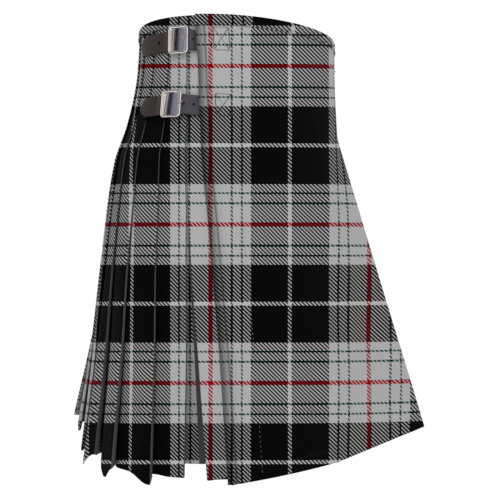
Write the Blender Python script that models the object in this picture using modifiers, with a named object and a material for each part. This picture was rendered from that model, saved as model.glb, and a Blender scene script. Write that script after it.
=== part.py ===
"""A Scottish kilt in its worn, hollow form: over apron, under apron, knife pleats, waistband, straps and buckles.

Metres, +Z up. The wearer faces -Y, so the wearer's right hip is at -X. The origin is the centre of the waist, at the
height of the upper strap. Sizes below are in millimetres and are turned into metres where meshes are made.
"""

import math

import bmesh
import bpy
import numpy as np
from mathutils import Matrix, Vector

# ---------------------------------------------------------------- driving sizes, in millimetres and degrees
LENGTH = 596.0  # cloth from the top edge to the hem
WALL = 1.1  # a layer of kilting wool
SEAM = 0.3  # between pieces that touch
ORIGIN_DOWN = 30.0  # the waist, at the height of the upper straps

# The form that the cloth is worn on, as half-axes of a ring at each distance down the cloth.
FORM_COLUMNS = ("down", "left", "right", "front", "back")
FORM = (
    (0.0, 151.0, 154.0, 114.0, 116.0),
    (60.0, 152.0, 157.0, 115.0, 124.0),
    (130.0, 155.0, 169.0, 119.0, 146.0),
    (190.0, 162.0, 185.0, 124.0, 173.0),
    (320.0, 188.0, 198.0, 139.0, 212.0),
    (450.0, 222.0, 206.0, 155.0, 248.0),
    (LENGTH, 258.0, 216.0, 165.0, 300.0),
)
LEVELS = (0.0, 58.0, 103.0, 133.0, 185.0, 260.0, 355.0, 475.0, LENGTH)  # rings of the cloth solids

# Where the vertical edges run: ring angles, from +X towards +Y, at six distances down.
EDGE_DOWN = (0.0, 90.0, 180.0, 280.0, 430.0, LENGTH)
FREE_EDGE = (217.0, 220.0, 225.0, 229.0, 232.0, 234.0)  # of the over apron, at the wearer's right
FIRST_FOLD = (209.5, 212.0, 217.0, 219.0, 219.0, 219.0)  # of the knife pleat nearest the aprons
UNDER_FOLD = (211.0, 213.5, 218.5, 220.5, 223.5, 226.5)  # of the under apron, which faces that pleat
LEFT_FOLD = -31.0  # of the over apron, at the wearer's left

# Knife pleats
PLEATS = 21
HIDDEN = 0.85  # depth of a pleat under its neighbour, as a share of what shows
LAYER = 1.6  # from one hidden layer to the next where the pleats are sewn down
LAYER_OPEN = 4.4  # the same at the hem, where the pleats swing open
SEWN_DOWN = 230.0  # distance down to which the layers lie close
OPENING = 1.4  # power with which they open from there to the hem
BACK_JOIN = 11  # the pleat whose inner fold holds the join of the two lengths of cloth
REVERSE_DEEP = 30.0  # how far in the reverse pleat lies at the hem
LAST_SHOWS = (0.0, 0.33, 0.66, 0.9)  # stations of the last pleat, before the over apron's turn-back

# The pleats swing in and out a little at the hem: how far out, at ring angles round the back.
SWING = (
    (-60.0, 0.0),
    (-20.0, 0.0),
    (10.0, 6.0),
    (32.0, -5.0),
    (58.0, 7.0),
    (84.0, -4.0),
    (104.0, 6.0),
    (118.0, -3.0),
    (132.0, 8.0),
    (143.0, -1.0),
    (153.0, -5.0),
    (164.0, 3.0),
    (174.0, -3.0),
    (185.0, 5.0),
    (194.0, -2.0),
    (203.0, 4.0),
    (212.0, -3.0),
    (222.0, 0.0),
    (420.0, 0.0),
)

# Over apron
APRON_OUT = 5.2  # over the form
APRON_FLARE_FROM = 135.0  # distance down at which the left fold leaves the form
APRON_CORNER = (240.0, -150.0)  # of the left fold at the hem
APRON_TURN = 34.0  # hidden turn-back behind the left fold
APRON_TURN_SHARES = (0.0, 0.35, 0.7, 1.0)  # its stations; the last pleat is sewn along the last two
APRON_DROP = 9.0  # the free corner hangs this much lower
APRON_DROP_OVER = 150.0  # and the hem rises from there over this width
APRON_STATIONS = 26

# Under apron
UNDER_TURN = 26.0  # hidden turn-back behind its fold
UNDER_END = 302.0  # ring angle of its far edge, under the over apron
UNDER_STATIONS = 16

# Waistband, a strip along the outside of the top edge with a lip over the cloth's edges
BAND_HEIGHT = 13.0
BAND_WALL = 1.0
BAND_STATIONS = 90
BAND_STEPS = {"left": (-26.0, -20.0, 4.0, 14.0), "fold": (-3.0, 8.0, 14.0)}  # degrees past the over and under folds

# Straps and buckles
STRAP_WIDTH = 27.0
STRAP_WALL = 1.8
CHAPE_WALL = 1.4
FRAME_ALONG = 28.0
FRAME_TALL = 37.0
FRAME_BAR = 3.2  # width of its bars
FRAME_WALL = 2.6
HEEL_RADIUS = 1.2  # the bar that the chape is folded round
PRONG_RADIUS = 1.0
PRONG_BEND = 2.0
PRONG_PAST = 1.4  # how far it reaches past the frame
PLATE_ALONG = 14.2  # the domed plate in the frame
PLATE_CENTRE = 2.4  # its middle, from the heel bar towards the tip
PLATE_DOME = 2.0
PLATE_WALL = 1.2
PLATE_CLEAR = 1.2  # from the frame's bars, above and below
HOLE_RADIUS = 2.4
HOLE_PITCH = 22.0
STRAP_ROOT_HIDES = 4.0  # no hole nearer to the edge that the strap comes from under
STRAP_BEGINS = {"free": -22.0, "left": -7.0}  # along, where its sewn end lies under that edge
STRAP_CLEARS = 2.0  # along, where it starts to rise over the chape
STRAP_LIES = (12.0, 24.0)  # past the heel bar, where it comes down off the chape and where it lies flat
STRAP_STATIONS = 15
STRAP_END_TURNS = (25.0, 50.0, 70.0, 85.0)  # stations round its end, in degrees
CHAPE_SHORT = 8.0  # its sewn end, short of the strap's tip
CHAPE_STEP = 7.0  # between its stations
CHAPE_INSET = 1.0  # narrower than the strap, each side
CHAPE_LAP = 9.0  # of the end that comes back over the heel bar
CHAPE_TURNS = (-0.8, 0.0, 0.8)  # stations round the heel bar, in radians
SLOT = (5.0, 4.0, 6.4)  # cut for the prong in the chape's fold: along, up, out
SLOT_AT = (2.6, 1.7)  # its middle: along from the heel bar, and out from it
FRAME_CORNER = 4.5
WINDOW_CORNER = 2.5
FRAME_BEVEL = 0.6
LEG_ALONG = 3.0  # of the two legs that carry the heel bar behind the frame
LEG_INTO_FRAME = 0.5
LEG_PAST_HEEL = 0.2
PIN_LONG = 6.0  # of the cutters for round holes
FASTENINGS = (
    # name, height, edge it comes from under, way round, edge to buckle, length past the buckle
    {"name": "right_upper", "down": 30.0, "from": "free", "way": -1, "to_buckle": 11.0, "past": 62.0},
    {"name": "right_lower", "down": 119.0, "from": "free", "way": -1, "to_buckle": 20.0, "past": 48.0},
    {"name": "left", "down": 30.0, "from": "left", "way": 1, "to_buckle": 26.0, "past": 46.0},
)

MM = 0.001

COLOURS = {
    "tartan": (0.30, 0.30, 0.30),
    "leather": (0.048, 0.037, 0.033),
    "metal": (0.80, 0.80, 0.80),
}


# ---------------------------------------------------------------- scene
def clear_scene():
    for thing in list(bpy.data.objects):
        bpy.data.objects.remove(thing, do_unlink=True)


def new_collection(name):
    collection = bpy.data.collections.new(name)
    bpy.context.scene.collection.children.link(collection)
    return collection


def material(name, colour, roughness, metallic=0.0):
    made = bpy.data.materials.new(name)
    made.use_nodes = True
    shader = made.node_tree.nodes["Principled BSDF"]
    shader.inputs["Base Color"].default_value = (*colour, 1.0)
    shader.inputs["Roughness"].default_value = roughness
    shader.inputs["Metallic"].default_value = metallic
    return made


# ---------------------------------------------------------------- the form
def eased(x, xs, ys):
    """A smooth curve through a table that never overshoots its rows (Fritsch-Carlson slopes)."""
    xs, ys = np.asarray(xs, float), np.asarray(ys, float)
    step = np.diff(xs)
    rate = np.diff(ys) / step
    slope = np.concatenate([[rate[0]], np.zeros(len(rate) - 1), [rate[-1]]])
    for i in range(1, len(rate)):
        if rate[i - 1] * rate[i] > 0:
            slope[i] = 2 * rate[i - 1] * rate[i] / (rate[i - 1] + rate[i])
    k = int(np.clip(np.searchsorted(xs, x) - 1, 0, len(rate) - 1))
    t = (x - xs[k]) / step[k]
    h = step[k]
    return (
        (1 + 2 * t) * (1 - t) ** 2 * ys[k]
        + t * (1 - t) ** 2 * h * slope[k]
        + t * t * (3 - 2 * t) * ys[k + 1]
        + t * t * (t - 1) * h * slope[k + 1]
    )


def half_axes(down):
    downs = [row[0] for row in FORM]
    return [eased(down, downs, [row[i] for row in FORM]) for i in range(1, len(FORM_COLUMNS))]


def on_form(angle, down, out=0.0):
    """A plan point on the ring, moved out along the ring's own normal."""
    left, right, front, back = half_axes(down)
    turn = math.radians(angle)
    along_x = left if math.cos(turn) >= 0 else right
    along_y = back if math.sin(turn) >= 0 else front
    x, y = along_x * math.cos(turn), along_y * math.sin(turn)
    normal = Vector((math.cos(turn) * along_y, math.sin(turn) * along_x)).normalized()
    return Vector((x + normal.x * out, y + normal.y * out))


def fallen(path, down, steps=40):
    """How far below the top edge a line of cloth reaches when it swings out in plan as path(down) does."""
    total, before = 0.0, path(0.0)
    for i in range(1, steps + 1):
        here = path(down * i / steps)
        run = down / steps
        total += math.sqrt(max(run * run - (here - before).length_squared, 0.0))
        before = here
    return total


def place(plan, height):
    return Vector((plan.x, plan.y, height + ORIGIN_DOWN))


def on_cloth(angle, down, out=0.0):
    """A point over the cloth solids, which run straight from each level to the next."""
    above = max(level for level in LEVELS[:-1] if level <= max(down, 0.0))
    below = LEVELS[LEVELS.index(above) + 1]
    share = (down - above) / (below - above)
    plan = on_form(angle, above, out).lerp(on_form(angle, below, out), share)
    drops = [fallen(lambda d: on_form(angle, d), level) for level in (above, below)]
    return place(plan, -drops[0] * (1 - share) - drops[1] * share)


class Ring:
    """The ring of the form at one distance down, measured by arc length."""

    STEP = 2.0

    def __init__(self, down):
        self.down = down
        self.angles = np.arange(-60.0, 420.0 + self.STEP, self.STEP)
        points = [on_form(a, down) for a in self.angles]
        runs = [(b - a).length for a, b in zip(points, points[1:])]
        self.arcs = np.concatenate([[0.0], np.cumsum(runs)])
        heights = [-fallen(lambda d, a=a: on_form(a, d), down) for a in self.angles[::5]]
        self.heights = heights

    def arc(self, angle):
        return float(np.interp(angle, self.angles, self.arcs))

    def angle(self, arc):
        return float(np.interp(arc, self.arcs, self.angles))

    def height(self, angle):
        return float(np.interp(angle, self.angles[::5], self.heights))

    def at(self, arc, out=0.0):
        angle = self.angle(arc)
        swing = eased(angle, [r[0] for r in SWING], [r[1] for r in SWING]) * opened(self.down)
        return place(on_form(angle, self.down, out + swing), self.height(angle))


RINGS = [Ring(down) for down in LEVELS]


def edge_angle(table, down):
    return eased(down, EDGE_DOWN, table)


def opened(down):
    """How far the pleats have opened: 0 where they are sewn down, 1 at the hem."""
    return (max(down - SEWN_DOWN, 0.0) / (LENGTH - SEWN_DOWN)) ** OPENING


def layer_pitch(down):
    return LAYER + (LAYER_OPEN - LAYER) * opened(down)


# ---------------------------------------------------------------- cloth walls
def cloth_wall(name, grid, thickness=WALL, wall_material="tartan"):
    """A wall round a grid of points, grid[level][station], as an open surface with Solidify."""
    rows, columns = len(grid), len(grid[0])
    points = [p * MM for row in grid for p in row]
    faces = []
    for i in range(rows - 1):
        for j in range(columns - 1):
            corners = (i * columns + j, (i + 1) * columns + j, (i + 1) * columns + j + 1, i * columns + j + 1)
            a, b, c, d = corners
            here, ahead = grid[i][j], grid[i][j + 1]
            # Layers that lie on each other are cut along the same diagonal, whichever way the cloth runs.
            if here.x * ahead.y > here.y * ahead.x:
                faces += [(a, b, c), (a, c, d)]
            else:
                faces += [(a, b, d), (b, c, d)]
    mesh = bpy.data.meshes.new(name)
    mesh.from_pydata(points, [], faces)
    mesh.update()
    wall = bpy.data.objects.new(name, mesh)
    COLLECTION.objects.link(wall)
    mesh.materials.append(MATERIALS[wall_material])
    solidify = wall.modifiers.new("cloth", "SOLIDIFY")
    solidify.thickness = thickness * MM
    solidify.offset = 0.0
    solidify.use_even_offset = True
    return wall


def pleat_section(ring, first, last):
    """Cloth points of pleats first to last on one ring, from the aprons round the back.

    Pleat i shows from its fold edge at fold(i) to fold(i + 1), goes under its neighbour and comes back. The first
    length begins with the reverse pleat, sewn to the under apron; the last ends sewn to the over apron's turn-back.
    """
    start = ring.arc(edge_angle(FIRST_FOLD, ring.down))
    end = ring.arc(LEFT_FOLD)
    reveal = (start - end) / PLEATS
    pitch = layer_pitch(ring.down)
    slope = 2 * pitch / reveal
    depth = HIDDEN * reveal
    seam = pitch + WALL + SEAM

    def fold(i):
        return start - i * reveal

    points = []
    if first == 0:
        under = ring.arc(edge_angle(UNDER_FOLD, ring.down))
        deep = REVERSE_DEEP * opened(ring.down)
        points.append(ring.at(under + UNDER_TURN, -seam))
        points.append(ring.at(under + 0.5 * UNDER_TURN, -seam - 0.3 * deep))
        points.append(ring.at(under, -2 * pitch - deep))
        points.append(ring.at(fold(0), -2 * pitch - deep))
        points.append(ring.at(fold(0) - 0.5 * depth, -2 * pitch - slope * 0.5 * depth - 0.5 * deep))
        points.append(ring.at(fold(0) - depth, -2 * pitch - slope * depth))
        points.append(ring.at(fold(0) - depth, -pitch - slope * depth))
    else:
        points.append(ring.at(fold(first) - depth + WALL, -pitch - slope * depth))
    for i in range(first, last + 1):
        if i > first:
            points.append(ring.at(fold(i) - depth, -pitch - slope * depth))
        points.append(ring.at(fold(i) - 0.5 * depth, -pitch - slope * 0.5 * depth))
        points.append(ring.at(fold(i), -pitch))
        if i == PLEATS - 1:
            break
        for showing in (0.0, 0.5 * HIDDEN, HIDDEN, 1.0, 1.0 + 0.5 * HIDDEN, 1.0 + HIDDEN):
            points.append(ring.at(fold(i) - showing * reveal, -slope * showing * reveal))
    if last == PLEATS - 1:
        for showing in LAST_SHOWS:
            points.append(ring.at(fold(last) - showing * reveal, 0.0))
        width = apron_width(ring)
        for share in APRON_TURN_SHARES[2:]:
            points.append(apron_point(ring, width - share * APRON_TURN, -seam))
    else:
        points[-1] = ring.at(fold(last) - (1.0 + HIDDEN) * reveal + WALL, -slope * (1.0 + HIDDEN) * reveal)
    return points


def pleats(name, first, last):
    return cloth_wall(name, [pleat_section(r, first, last) for r in RINGS])


# ---------------------------------------------------------------- over apron
def apron_corner(down):
    """Plan point of the over apron's left fold: on the form at first, then swinging straight out to the corner."""
    if down <= APRON_FLARE_FROM:
        return on_form(LEFT_FOLD, down, APRON_OUT)
    share = (down - APRON_FLARE_FROM) / (LENGTH - APRON_FLARE_FROM)
    return on_form(LEFT_FOLD, APRON_FLARE_FROM, APRON_OUT).lerp(Vector(APRON_CORNER), share)


def leaves_form_at(ring):
    """Ring angle from which the over apron runs straight to its corner, touching the form there."""
    if ring.down <= APRON_FLARE_FROM:
        return LEFT_FOLD + 360.0
    corner = apron_corner(ring.down)

    def heading(angle):
        way = on_form(angle, ring.down, APRON_OUT) - corner
        return math.atan2(way.y, way.x) % (2 * math.pi)

    return max(np.arange(250.0, LEFT_FOLD + 360.0, 0.5), key=heading)


def apron_width(ring):
    leaves = leaves_form_at(ring)
    free = edge_angle(FREE_EDGE, ring.down)
    straight = (apron_corner(ring.down) - on_form(leaves, ring.down, APRON_OUT)).length
    return ring.arc(leaves) - ring.arc(free) + straight


def apron_point(ring, along, out=0.0):
    """A point of the over apron this far from its free edge, moved out from its surface."""
    leaves = leaves_form_at(ring)
    free = edge_angle(FREE_EDGE, ring.down)
    on_ring = ring.arc(leaves) - ring.arc(free)
    drop = APRON_DROP * (ring.down / LENGTH) ** 2 * max(1.0 - along / APRON_DROP_OVER, 0.0) ** 2
    if along <= on_ring:
        return ring.at(ring.arc(free) + along, APRON_OUT + out) - Vector((0, 0, drop))
    corner = apron_corner(ring.down)
    begin = on_form(leaves, ring.down, APRON_OUT)
    way = (corner - begin).normalized() if (corner - begin).length > 1e-6 else Vector((0.0, 1.0))
    share = (along - on_ring) / max((corner - begin).length, 1e-6)
    plan = begin.lerp(corner, share) + Vector((way.y, -way.x)) * out
    height = ring.height(leaves) * (1 - share) - fallen(apron_corner, ring.down) * share
    return place(plan, height)


def apron_section(ring):
    width = apron_width(ring)
    pitch = layer_pitch(ring.down)
    points = [apron_point(ring, width * i / APRON_STATIONS) for i in range(APRON_STATIONS + 1)]
    for share in APRON_TURN_SHARES:
        points.append(apron_point(ring, width - share * APRON_TURN, -pitch))
    return points


def over_apron():
    return cloth_wall("over_apron", [apron_section(r) for r in RINGS])


# ---------------------------------------------------------------- under apron
def under_section(ring):
    fold = ring.arc(edge_angle(UNDER_FOLD, ring.down))
    end = ring.arc(UNDER_END)
    pitch = layer_pitch(ring.down)
    points = [ring.at(fold + share * UNDER_TURN, -pitch) for share in (1.0, 0.5, 0.0)]
    points += [ring.at(fold), ring.at(fold + 0.5 * UNDER_TURN)]
    turned = fold + UNDER_TURN
    points += [ring.at(turned + (end - turned) * i / UNDER_STATIONS) for i in range(UNDER_STATIONS + 1)]
    return points


def under_apron():
    return cloth_wall("under_apron", [under_section(r) for r in RINGS])


# ---------------------------------------------------------------- waistband
def waistband():
    """One strip, once round over the over apron, the pleats and the under apron, which lie in a spiral."""
    clear = WALL / 2 + SEAM + BAND_WALL / 2
    free = FREE_EDGE[0]
    left = [LEFT_FOLD + 360.0 + step for step in BAND_STEPS["left"]]
    fold = [UNDER_FOLD[0] + 360.0 + step for step in BAND_STEPS["fold"]]
    stack = -2 * LAYER * (1 + HIDDEN) - WALL
    turned = APRON_OUT - 2 * LAYER - WALL
    rows = (
        # ring angle, outside, inside
        (free, APRON_OUT + clear, APRON_OUT - WALL),
        (left[0], APRON_OUT + clear, APRON_OUT - WALL),
        (left[1], APRON_OUT + clear, turned),
        (left[2], APRON_OUT + clear, turned),
        (left[3], clear, stack),
        (fold[0], clear, stack),
        (fold[1], clear, -2 * LAYER - WALL),
        (fold[2], clear, -WALL),
        (UNDER_END + 360.0, clear, -WALL),
    )
    grid = [[], [], []]
    for angle in np.linspace(free, UNDER_END + 360.0, BAND_STATIONS):
        outside = float(np.interp(angle, [r[0] for r in rows], [r[1] for r in rows]))
        inside = float(np.interp(angle, [r[0] for r in rows], [r[2] for r in rows]))
        top = SEAM + BAND_WALL / 2
        grid[0].append(on_cloth(angle, BAND_HEIGHT, outside))
        grid[1].append(place(on_form(angle, 0.0, outside), top))
        grid[2].append(place(on_form(angle, 0.0, inside), top))
    return cloth_wall("waistband", grid, BAND_WALL)


# ---------------------------------------------------------------- straps and buckles
class Lie:
    """Where a fastening lies: along it from the edge that it comes from under, up the cloth, and out from it."""

    def __init__(self, row):
        self.way = row["way"]
        self.down = row["down"]
        self.ring = Ring(self.down)
        edge = edge_angle(FREE_EDGE, self.down) if row["from"] == "free" else LEFT_FOLD
        self.edge = self.ring.arc(edge)

    def on(self, along, up=0.0):
        return on_cloth(self.ring.angle(self.edge + self.way * along), self.down - up)

    def axes(self, along):
        """X round the wearer towards the left hand, Y up, Z out of the cloth."""
        x = (self.on(along + self.way) - self.on(along - self.way)).normalized()
        z = x.cross(self.on(along, 5.0) - self.on(along, -5.0)).normalized()
        return x, z.cross(x), z

    def at(self, along, up, out):
        x, y, z = self.axes(along)
        return self.on(along) + y * up + z * out

    def frame(self, along):
        """A matrix on the cloth there, with those axes."""
        turned = Matrix(self.axes(along)).transposed().to_4x4()
        return Matrix.Translation(self.on(along) * MM) @ turned


# Heights over the cloth's middle surface of what lies in each layer of a fastening
ON_CLOTH = WALL / 2 + 2 * SEAM
CHAPE_UNDER = ON_CLOTH + CHAPE_WALL / 2
HEEL = ON_CLOTH + CHAPE_WALL + SEAM + HEEL_RADIUS
CHAPE_OVER = HEEL + HEEL_RADIUS + SEAM + CHAPE_WALL / 2
STRAP_OVER = CHAPE_OVER + CHAPE_WALL / 2 + SEAM + STRAP_WALL / 2
STRAP_TIP = ON_CLOTH + CHAPE_WALL + SEAM + STRAP_WALL / 2
STRAP_ROOT = {"free": APRON_OUT / 2, "left": 1.8}  # under the over apron's edge, or under its turn-back
FRAME_OVER = STRAP_OVER + STRAP_WALL / 2 + SEAM + FRAME_WALL / 2
PRONG_OVER = FRAME_OVER + FRAME_WALL / 2 + SEAM + PRONG_RADIUS
PRONG_HOLE = 8.2  # from the heel bar, towards the edge that the strap comes from under


def through(x, rows, column):
    return float(np.interp(x, [row[0] for row in rows], [row[column] for row in rows]))


def strap(row, lie):
    heel = row["to_buckle"] + FRAME_ALONG / 2
    tip = heel + row["past"]
    root_out = STRAP_ROOT[row["from"]]
    route = (
        # along, out
        (STRAP_BEGINS["free"], root_out),
        (STRAP_CLEARS, root_out),
        (0.5 * row["to_buckle"], 0.5 * (root_out + STRAP_OVER)),
        (row["to_buckle"] - 1.0, STRAP_OVER),
        (heel + STRAP_LIES[0], STRAP_OVER),
        (heel + STRAP_LIES[1], STRAP_TIP),
        (tip, STRAP_TIP),
    )
    round_end = STRAP_WIDTH / 2
    alongs = list(np.linspace(STRAP_BEGINS[row["from"]], tip - round_end, STRAP_STATIONS))
    alongs += [tip - round_end * (1 - math.sin(math.radians(a))) for a in STRAP_END_TURNS]
    grid = [[], []]
    for along in alongs:
        beyond = max(along - (tip - round_end), 0.0) / round_end
        half = STRAP_WIDTH / 2 * math.sqrt(1 - beyond**2)
        out = through(along, route, 1)
        grid[0].append(lie.at(along, -half, out))
        grid[1].append(lie.at(along, half, out))
    made = cloth_wall("strap_" + row["name"], grid, STRAP_WALL, "leather")
    at_prong = lie.frame(heel) @ Matrix.Translation(Vector((-lie.way * PRONG_HOLE, 0.0, STRAP_OVER)) * MM)
    cut_round(made, made.name + "_prong_hole", at_prong)
    for n, along in enumerate((heel - PRONG_HOLE - HOLE_PITCH, heel + 0.5 * row["past"])):
        if along > STRAP_ROOT_HIDES:
            cut_round(made, f"{made.name}_hole_{n}", lie.frame(along) @ out_by(through(along, route, 1)))
    return made


def out_by(height):
    return Matrix.Translation((0.0, 0.0, height * MM))


def cut(target, cutter):
    """Cuts one object out of another, and puts the cutter with the cutters."""
    COLLECTION.objects.unlink(cutter)
    CUTTERS.objects.link(cutter)
    cutter.hide_render = True
    cutter.display_type = "WIRE"
    boolean = target.modifiers.new(cutter.name, "BOOLEAN")
    boolean.operation = "DIFFERENCE"
    boolean.object = cutter


def solid_from(name, build, matrix, part_material):
    """An object whose mesh the given function fills, placed by a matrix."""
    mesh = bpy.data.meshes.new(name)
    shape = bmesh.new()
    build(shape)
    shape.to_mesh(mesh)
    shape.free()
    mesh.materials.append(MATERIALS[part_material])
    made = bpy.data.objects.new(name, mesh)
    made.matrix_world = matrix
    COLLECTION.objects.link(made)
    return made


def cut_round(target, name, matrix):
    radius = HOLE_RADIUS * MM

    def pin(shape):
        bmesh.ops.create_cone(
            shape, cap_ends=True, segments=10, radius1=radius, radius2=radius, depth=PIN_LONG * MM
        )

    cut(target, solid_from(name, pin, matrix, "metal"))


def chape(row, lie):
    """The tab on the pleats that carries the buckle, folded round its heel bar."""
    heel = row["to_buckle"] + FRAME_ALONG / 2
    loop = HEEL - CHAPE_UNDER
    sewn_end = row["past"] - CHAPE_SHORT
    section = [(along, CHAPE_UNDER) for along in np.arange(sewn_end, 0.5 * CHAPE_STEP, -CHAPE_STEP)]
    section += [(0.0, CHAPE_UNDER)]
    section += [(-loop * math.cos(t), HEEL + loop * math.sin(t)) for t in CHAPE_TURNS]
    section += [(0.0, CHAPE_OVER), (0.5 * CHAPE_LAP, CHAPE_OVER), (CHAPE_LAP, CHAPE_OVER)]
    half = STRAP_WIDTH / 2 - CHAPE_INSET
    grid = [[lie.at(heel + along, side * half, out) for along, out in section] for side in (-1, 1)]
    made = cloth_wall("chape_" + row["name"], grid, CHAPE_WALL, "leather")

    def slot(shape):
        bmesh.ops.create_cube(shape, size=1.0)
        bmesh.ops.scale(shape, vec=[size * MM for size in SLOT], verts=shape.verts)

    place_at = lie.frame(heel) @ Matrix.Translation((-lie.way * SLOT_AT[0] * MM, 0.0, (HEEL + SLOT_AT[1]) * MM))
    cut(made, solid_from(made.name + "_slot", slot, place_at, "metal"))
    return made


def rounded_outline(curve, along, tall, radius):
    """Adds a rounded rectangle to a flat curve."""
    corners = (
        (along / 2 - radius, tall / 2 - radius, 0),
        (-along / 2 + radius, tall / 2 - radius, 90),
        (-along / 2 + radius, -tall / 2 + radius, 180),
        (along / 2 - radius, -tall / 2 + radius, 270),
    )
    points = []
    for x, y, begin in corners:
        for turn in (0, 30, 60, 90):
            angle = math.radians(begin + turn)
            points.append((x + radius * math.cos(angle), y + radius * math.sin(angle)))
    spline = curve.splines.new("POLY")
    spline.points.add(len(points) - 1)
    for point, (x, y) in zip(spline.points, points):
        point.co = (x * MM, y * MM, 0.0, 1.0)
    spline.use_cyclic_u = True


def buckle_frame(row, lie):
    """A rounded frame over the strap, with a heel bar behind the strap."""
    name = "buckle_" + row["name"]
    centre = lie.frame(row["to_buckle"] + FRAME_ALONG / 2)
    curve = bpy.data.curves.new(name, "CURVE")
    curve.dimensions = "2D"
    curve.fill_mode = "BOTH"
    curve.bevel_depth = FRAME_BEVEL * MM
    curve.bevel_resolution = 1
    curve.extrude = (FRAME_WALL / 2 - FRAME_BEVEL) * MM
    rounded_outline(curve, FRAME_ALONG - 2 * FRAME_BEVEL, FRAME_TALL - 2 * FRAME_BEVEL, FRAME_CORNER)
    window = [size - 2 * FRAME_BAR + 2 * FRAME_BEVEL for size in (FRAME_ALONG, FRAME_TALL)]
    rounded_outline(curve, window[0], window[1], WINDOW_CORNER)
    drawn = bpy.data.objects.new(name + "_outline", curve)
    COLLECTION.objects.link(drawn)
    bpy.context.view_layer.update()
    mesh = bpy.data.meshes.new_from_object(drawn.evaluated_get(bpy.context.evaluated_depsgraph_get()))
    bpy.data.objects.remove(drawn, do_unlink=True)
    shape = bmesh.new()
    shape.from_mesh(mesh)
    bmesh.ops.remove_doubles(shape, verts=shape.verts, dist=1e-5)
    shape.to_mesh(mesh)
    shape.free()
    mesh.materials.clear()
    mesh.materials.append(MATERIALS["metal"])
    frame = bpy.data.objects.new(name, mesh)
    frame.matrix_world = centre @ out_by(FRAME_OVER)
    COLLECTION.objects.link(frame)

    leg_tall = FRAME_BAR / 2
    legs_at = (FRAME_TALL - FRAME_BAR) / 2
    leg_top = FRAME_OVER + LEG_INTO_FRAME
    leg_foot = HEEL - HEEL_RADIUS - LEG_PAST_HEEL

    def heel_bar(shape):
        lie_down = Matrix.Rotation(math.pi / 2, 4, "X")
        radius = HEEL_RADIUS * MM
        bmesh.ops.create_cone(
            shape, cap_ends=True, segments=12, radius1=radius, radius2=radius, depth=2 * legs_at * MM, matrix=lie_down
        )

    join(frame, solid_from(name + "_heel", heel_bar, centre @ out_by(HEEL), "metal"))
    for side in (-1, 1):

        def leg(shape):
            bmesh.ops.create_cube(shape, size=1.0)
            bmesh.ops.scale(shape, vec=(LEG_ALONG * MM, leg_tall * MM, (leg_top - leg_foot) * MM), verts=shape.verts)

        at = centre @ Matrix.Translation((0.0, side * legs_at * MM, (leg_top + leg_foot) / 2 * MM))
        join(frame, solid_from(f"{name}_leg_{side + 1}", leg, at, "metal"))
    return frame


def join(target, other):
    """Joins one object to another, and keeps the other with the cutters."""
    cut(target, other)
    target.modifiers[other.name].operation = "UNION"


def buckle_plate(row, lie):
    """A domed plate across the frame's window, over the strap."""
    middle = lie.frame(row["to_buckle"] + FRAME_ALONG / 2)
    base = FRAME_OVER - FRAME_WALL / 2 + PLATE_WALL / 2
    half = FRAME_TALL / 2 - FRAME_BAR - PLATE_CLEAR
    grid = []
    for side in (-1, 1):
        stations = []
        for across in np.linspace(-1.0, 1.0, 9):
            along = lie.way * (PLATE_CENTRE + across * (PLATE_ALONG - PLATE_WALL) / 2)
            out = base + PLATE_DOME * (1 - across**2)
            stations.append(middle @ (Vector((along, side * half, out)) * MM) / MM)
        grid.append(stations)
    return cloth_wall("plate_" + row["name"], grid, PLATE_WALL, "metal")


def prong(row, lie):
    """From the heel bar, through the strap's hole, on to the frame's bar."""
    bend = [(PRONG_BEND * math.sin(t), PRONG_BEND * (1 - math.cos(t))) for t in np.radians((0, 30, 60, 90))]
    route = [(HEEL_RADIUS + SEAM, HEEL)]  # towards the edge, out
    route += [(PRONG_HOLE - PRONG_BEND + x, HEEL + z) for x, z in bend]
    route += [(PRONG_HOLE + PRONG_BEND - x, PRONG_OVER - z) for x, z in reversed(bend)]
    route += [(FRAME_ALONG / 2 + PRONG_PAST, PRONG_OVER)]
    curve = bpy.data.curves.new("prong_" + row["name"], "CURVE")
    curve.dimensions = "3D"
    curve.bevel_depth = PRONG_RADIUS * MM
    curve.bevel_resolution = 2
    curve.use_fill_caps = True
    spline = curve.splines.new("POLY")
    spline.points.add(len(route) - 1)
    for point, (along, out) in zip(spline.points, route):
        point.co = (-lie.way * along * MM, 0.0, out * MM, 1.0)
    curve.materials.append(MATERIALS["metal"])
    made = bpy.data.objects.new("prong_" + row["name"], curve)
    made.matrix_world = lie.frame(row["to_buckle"] + FRAME_ALONG / 2)
    COLLECTION.objects.link(made)
    return made


def fastening(row):
    lie = Lie(row)
    chape(row, lie)
    strap(row, lie)
    buckle_frame(row, lie)
    buckle_plate(row, lie)
    prong(row, lie)


clear_scene()
COLLECTION = new_collection("scottish_kilt")
CUTTERS = new_collection("cutters")
MATERIALS = {
    "tartan": material("tartan", COLOURS["tartan"], 0.9),
    "leather": material("leather", COLOURS["leather"], 0.5),
    "metal": material("metal", COLOURS["metal"], 0.2, 1.0),
}
pleats("pleats_right", 0, BACK_JOIN - 1)
pleats("pleats_left", BACK_JOIN, PLEATS - 1)
over_apron()
under_apron()
waistband()
for fastening_row in FASTENINGS:
    fastening(fastening_row)
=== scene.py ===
# %% [markdown]
# # A worn Scottish kilt
# A kilt is one long length of woollen tartan. Two flat aprons cross over in front, and the rest is pressed
# into knife pleats round the back. Leather straps draw the top round the waist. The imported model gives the
# frame, and each of its cloth walls is replaced here by a finer sheet on the same form, so that folds, hems
# and stitches can be seen.

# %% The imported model
import math
from collections import namedtuple

import bmesh
import bpy
import numpy as np
from mathutils import Matrix, Vector


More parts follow.
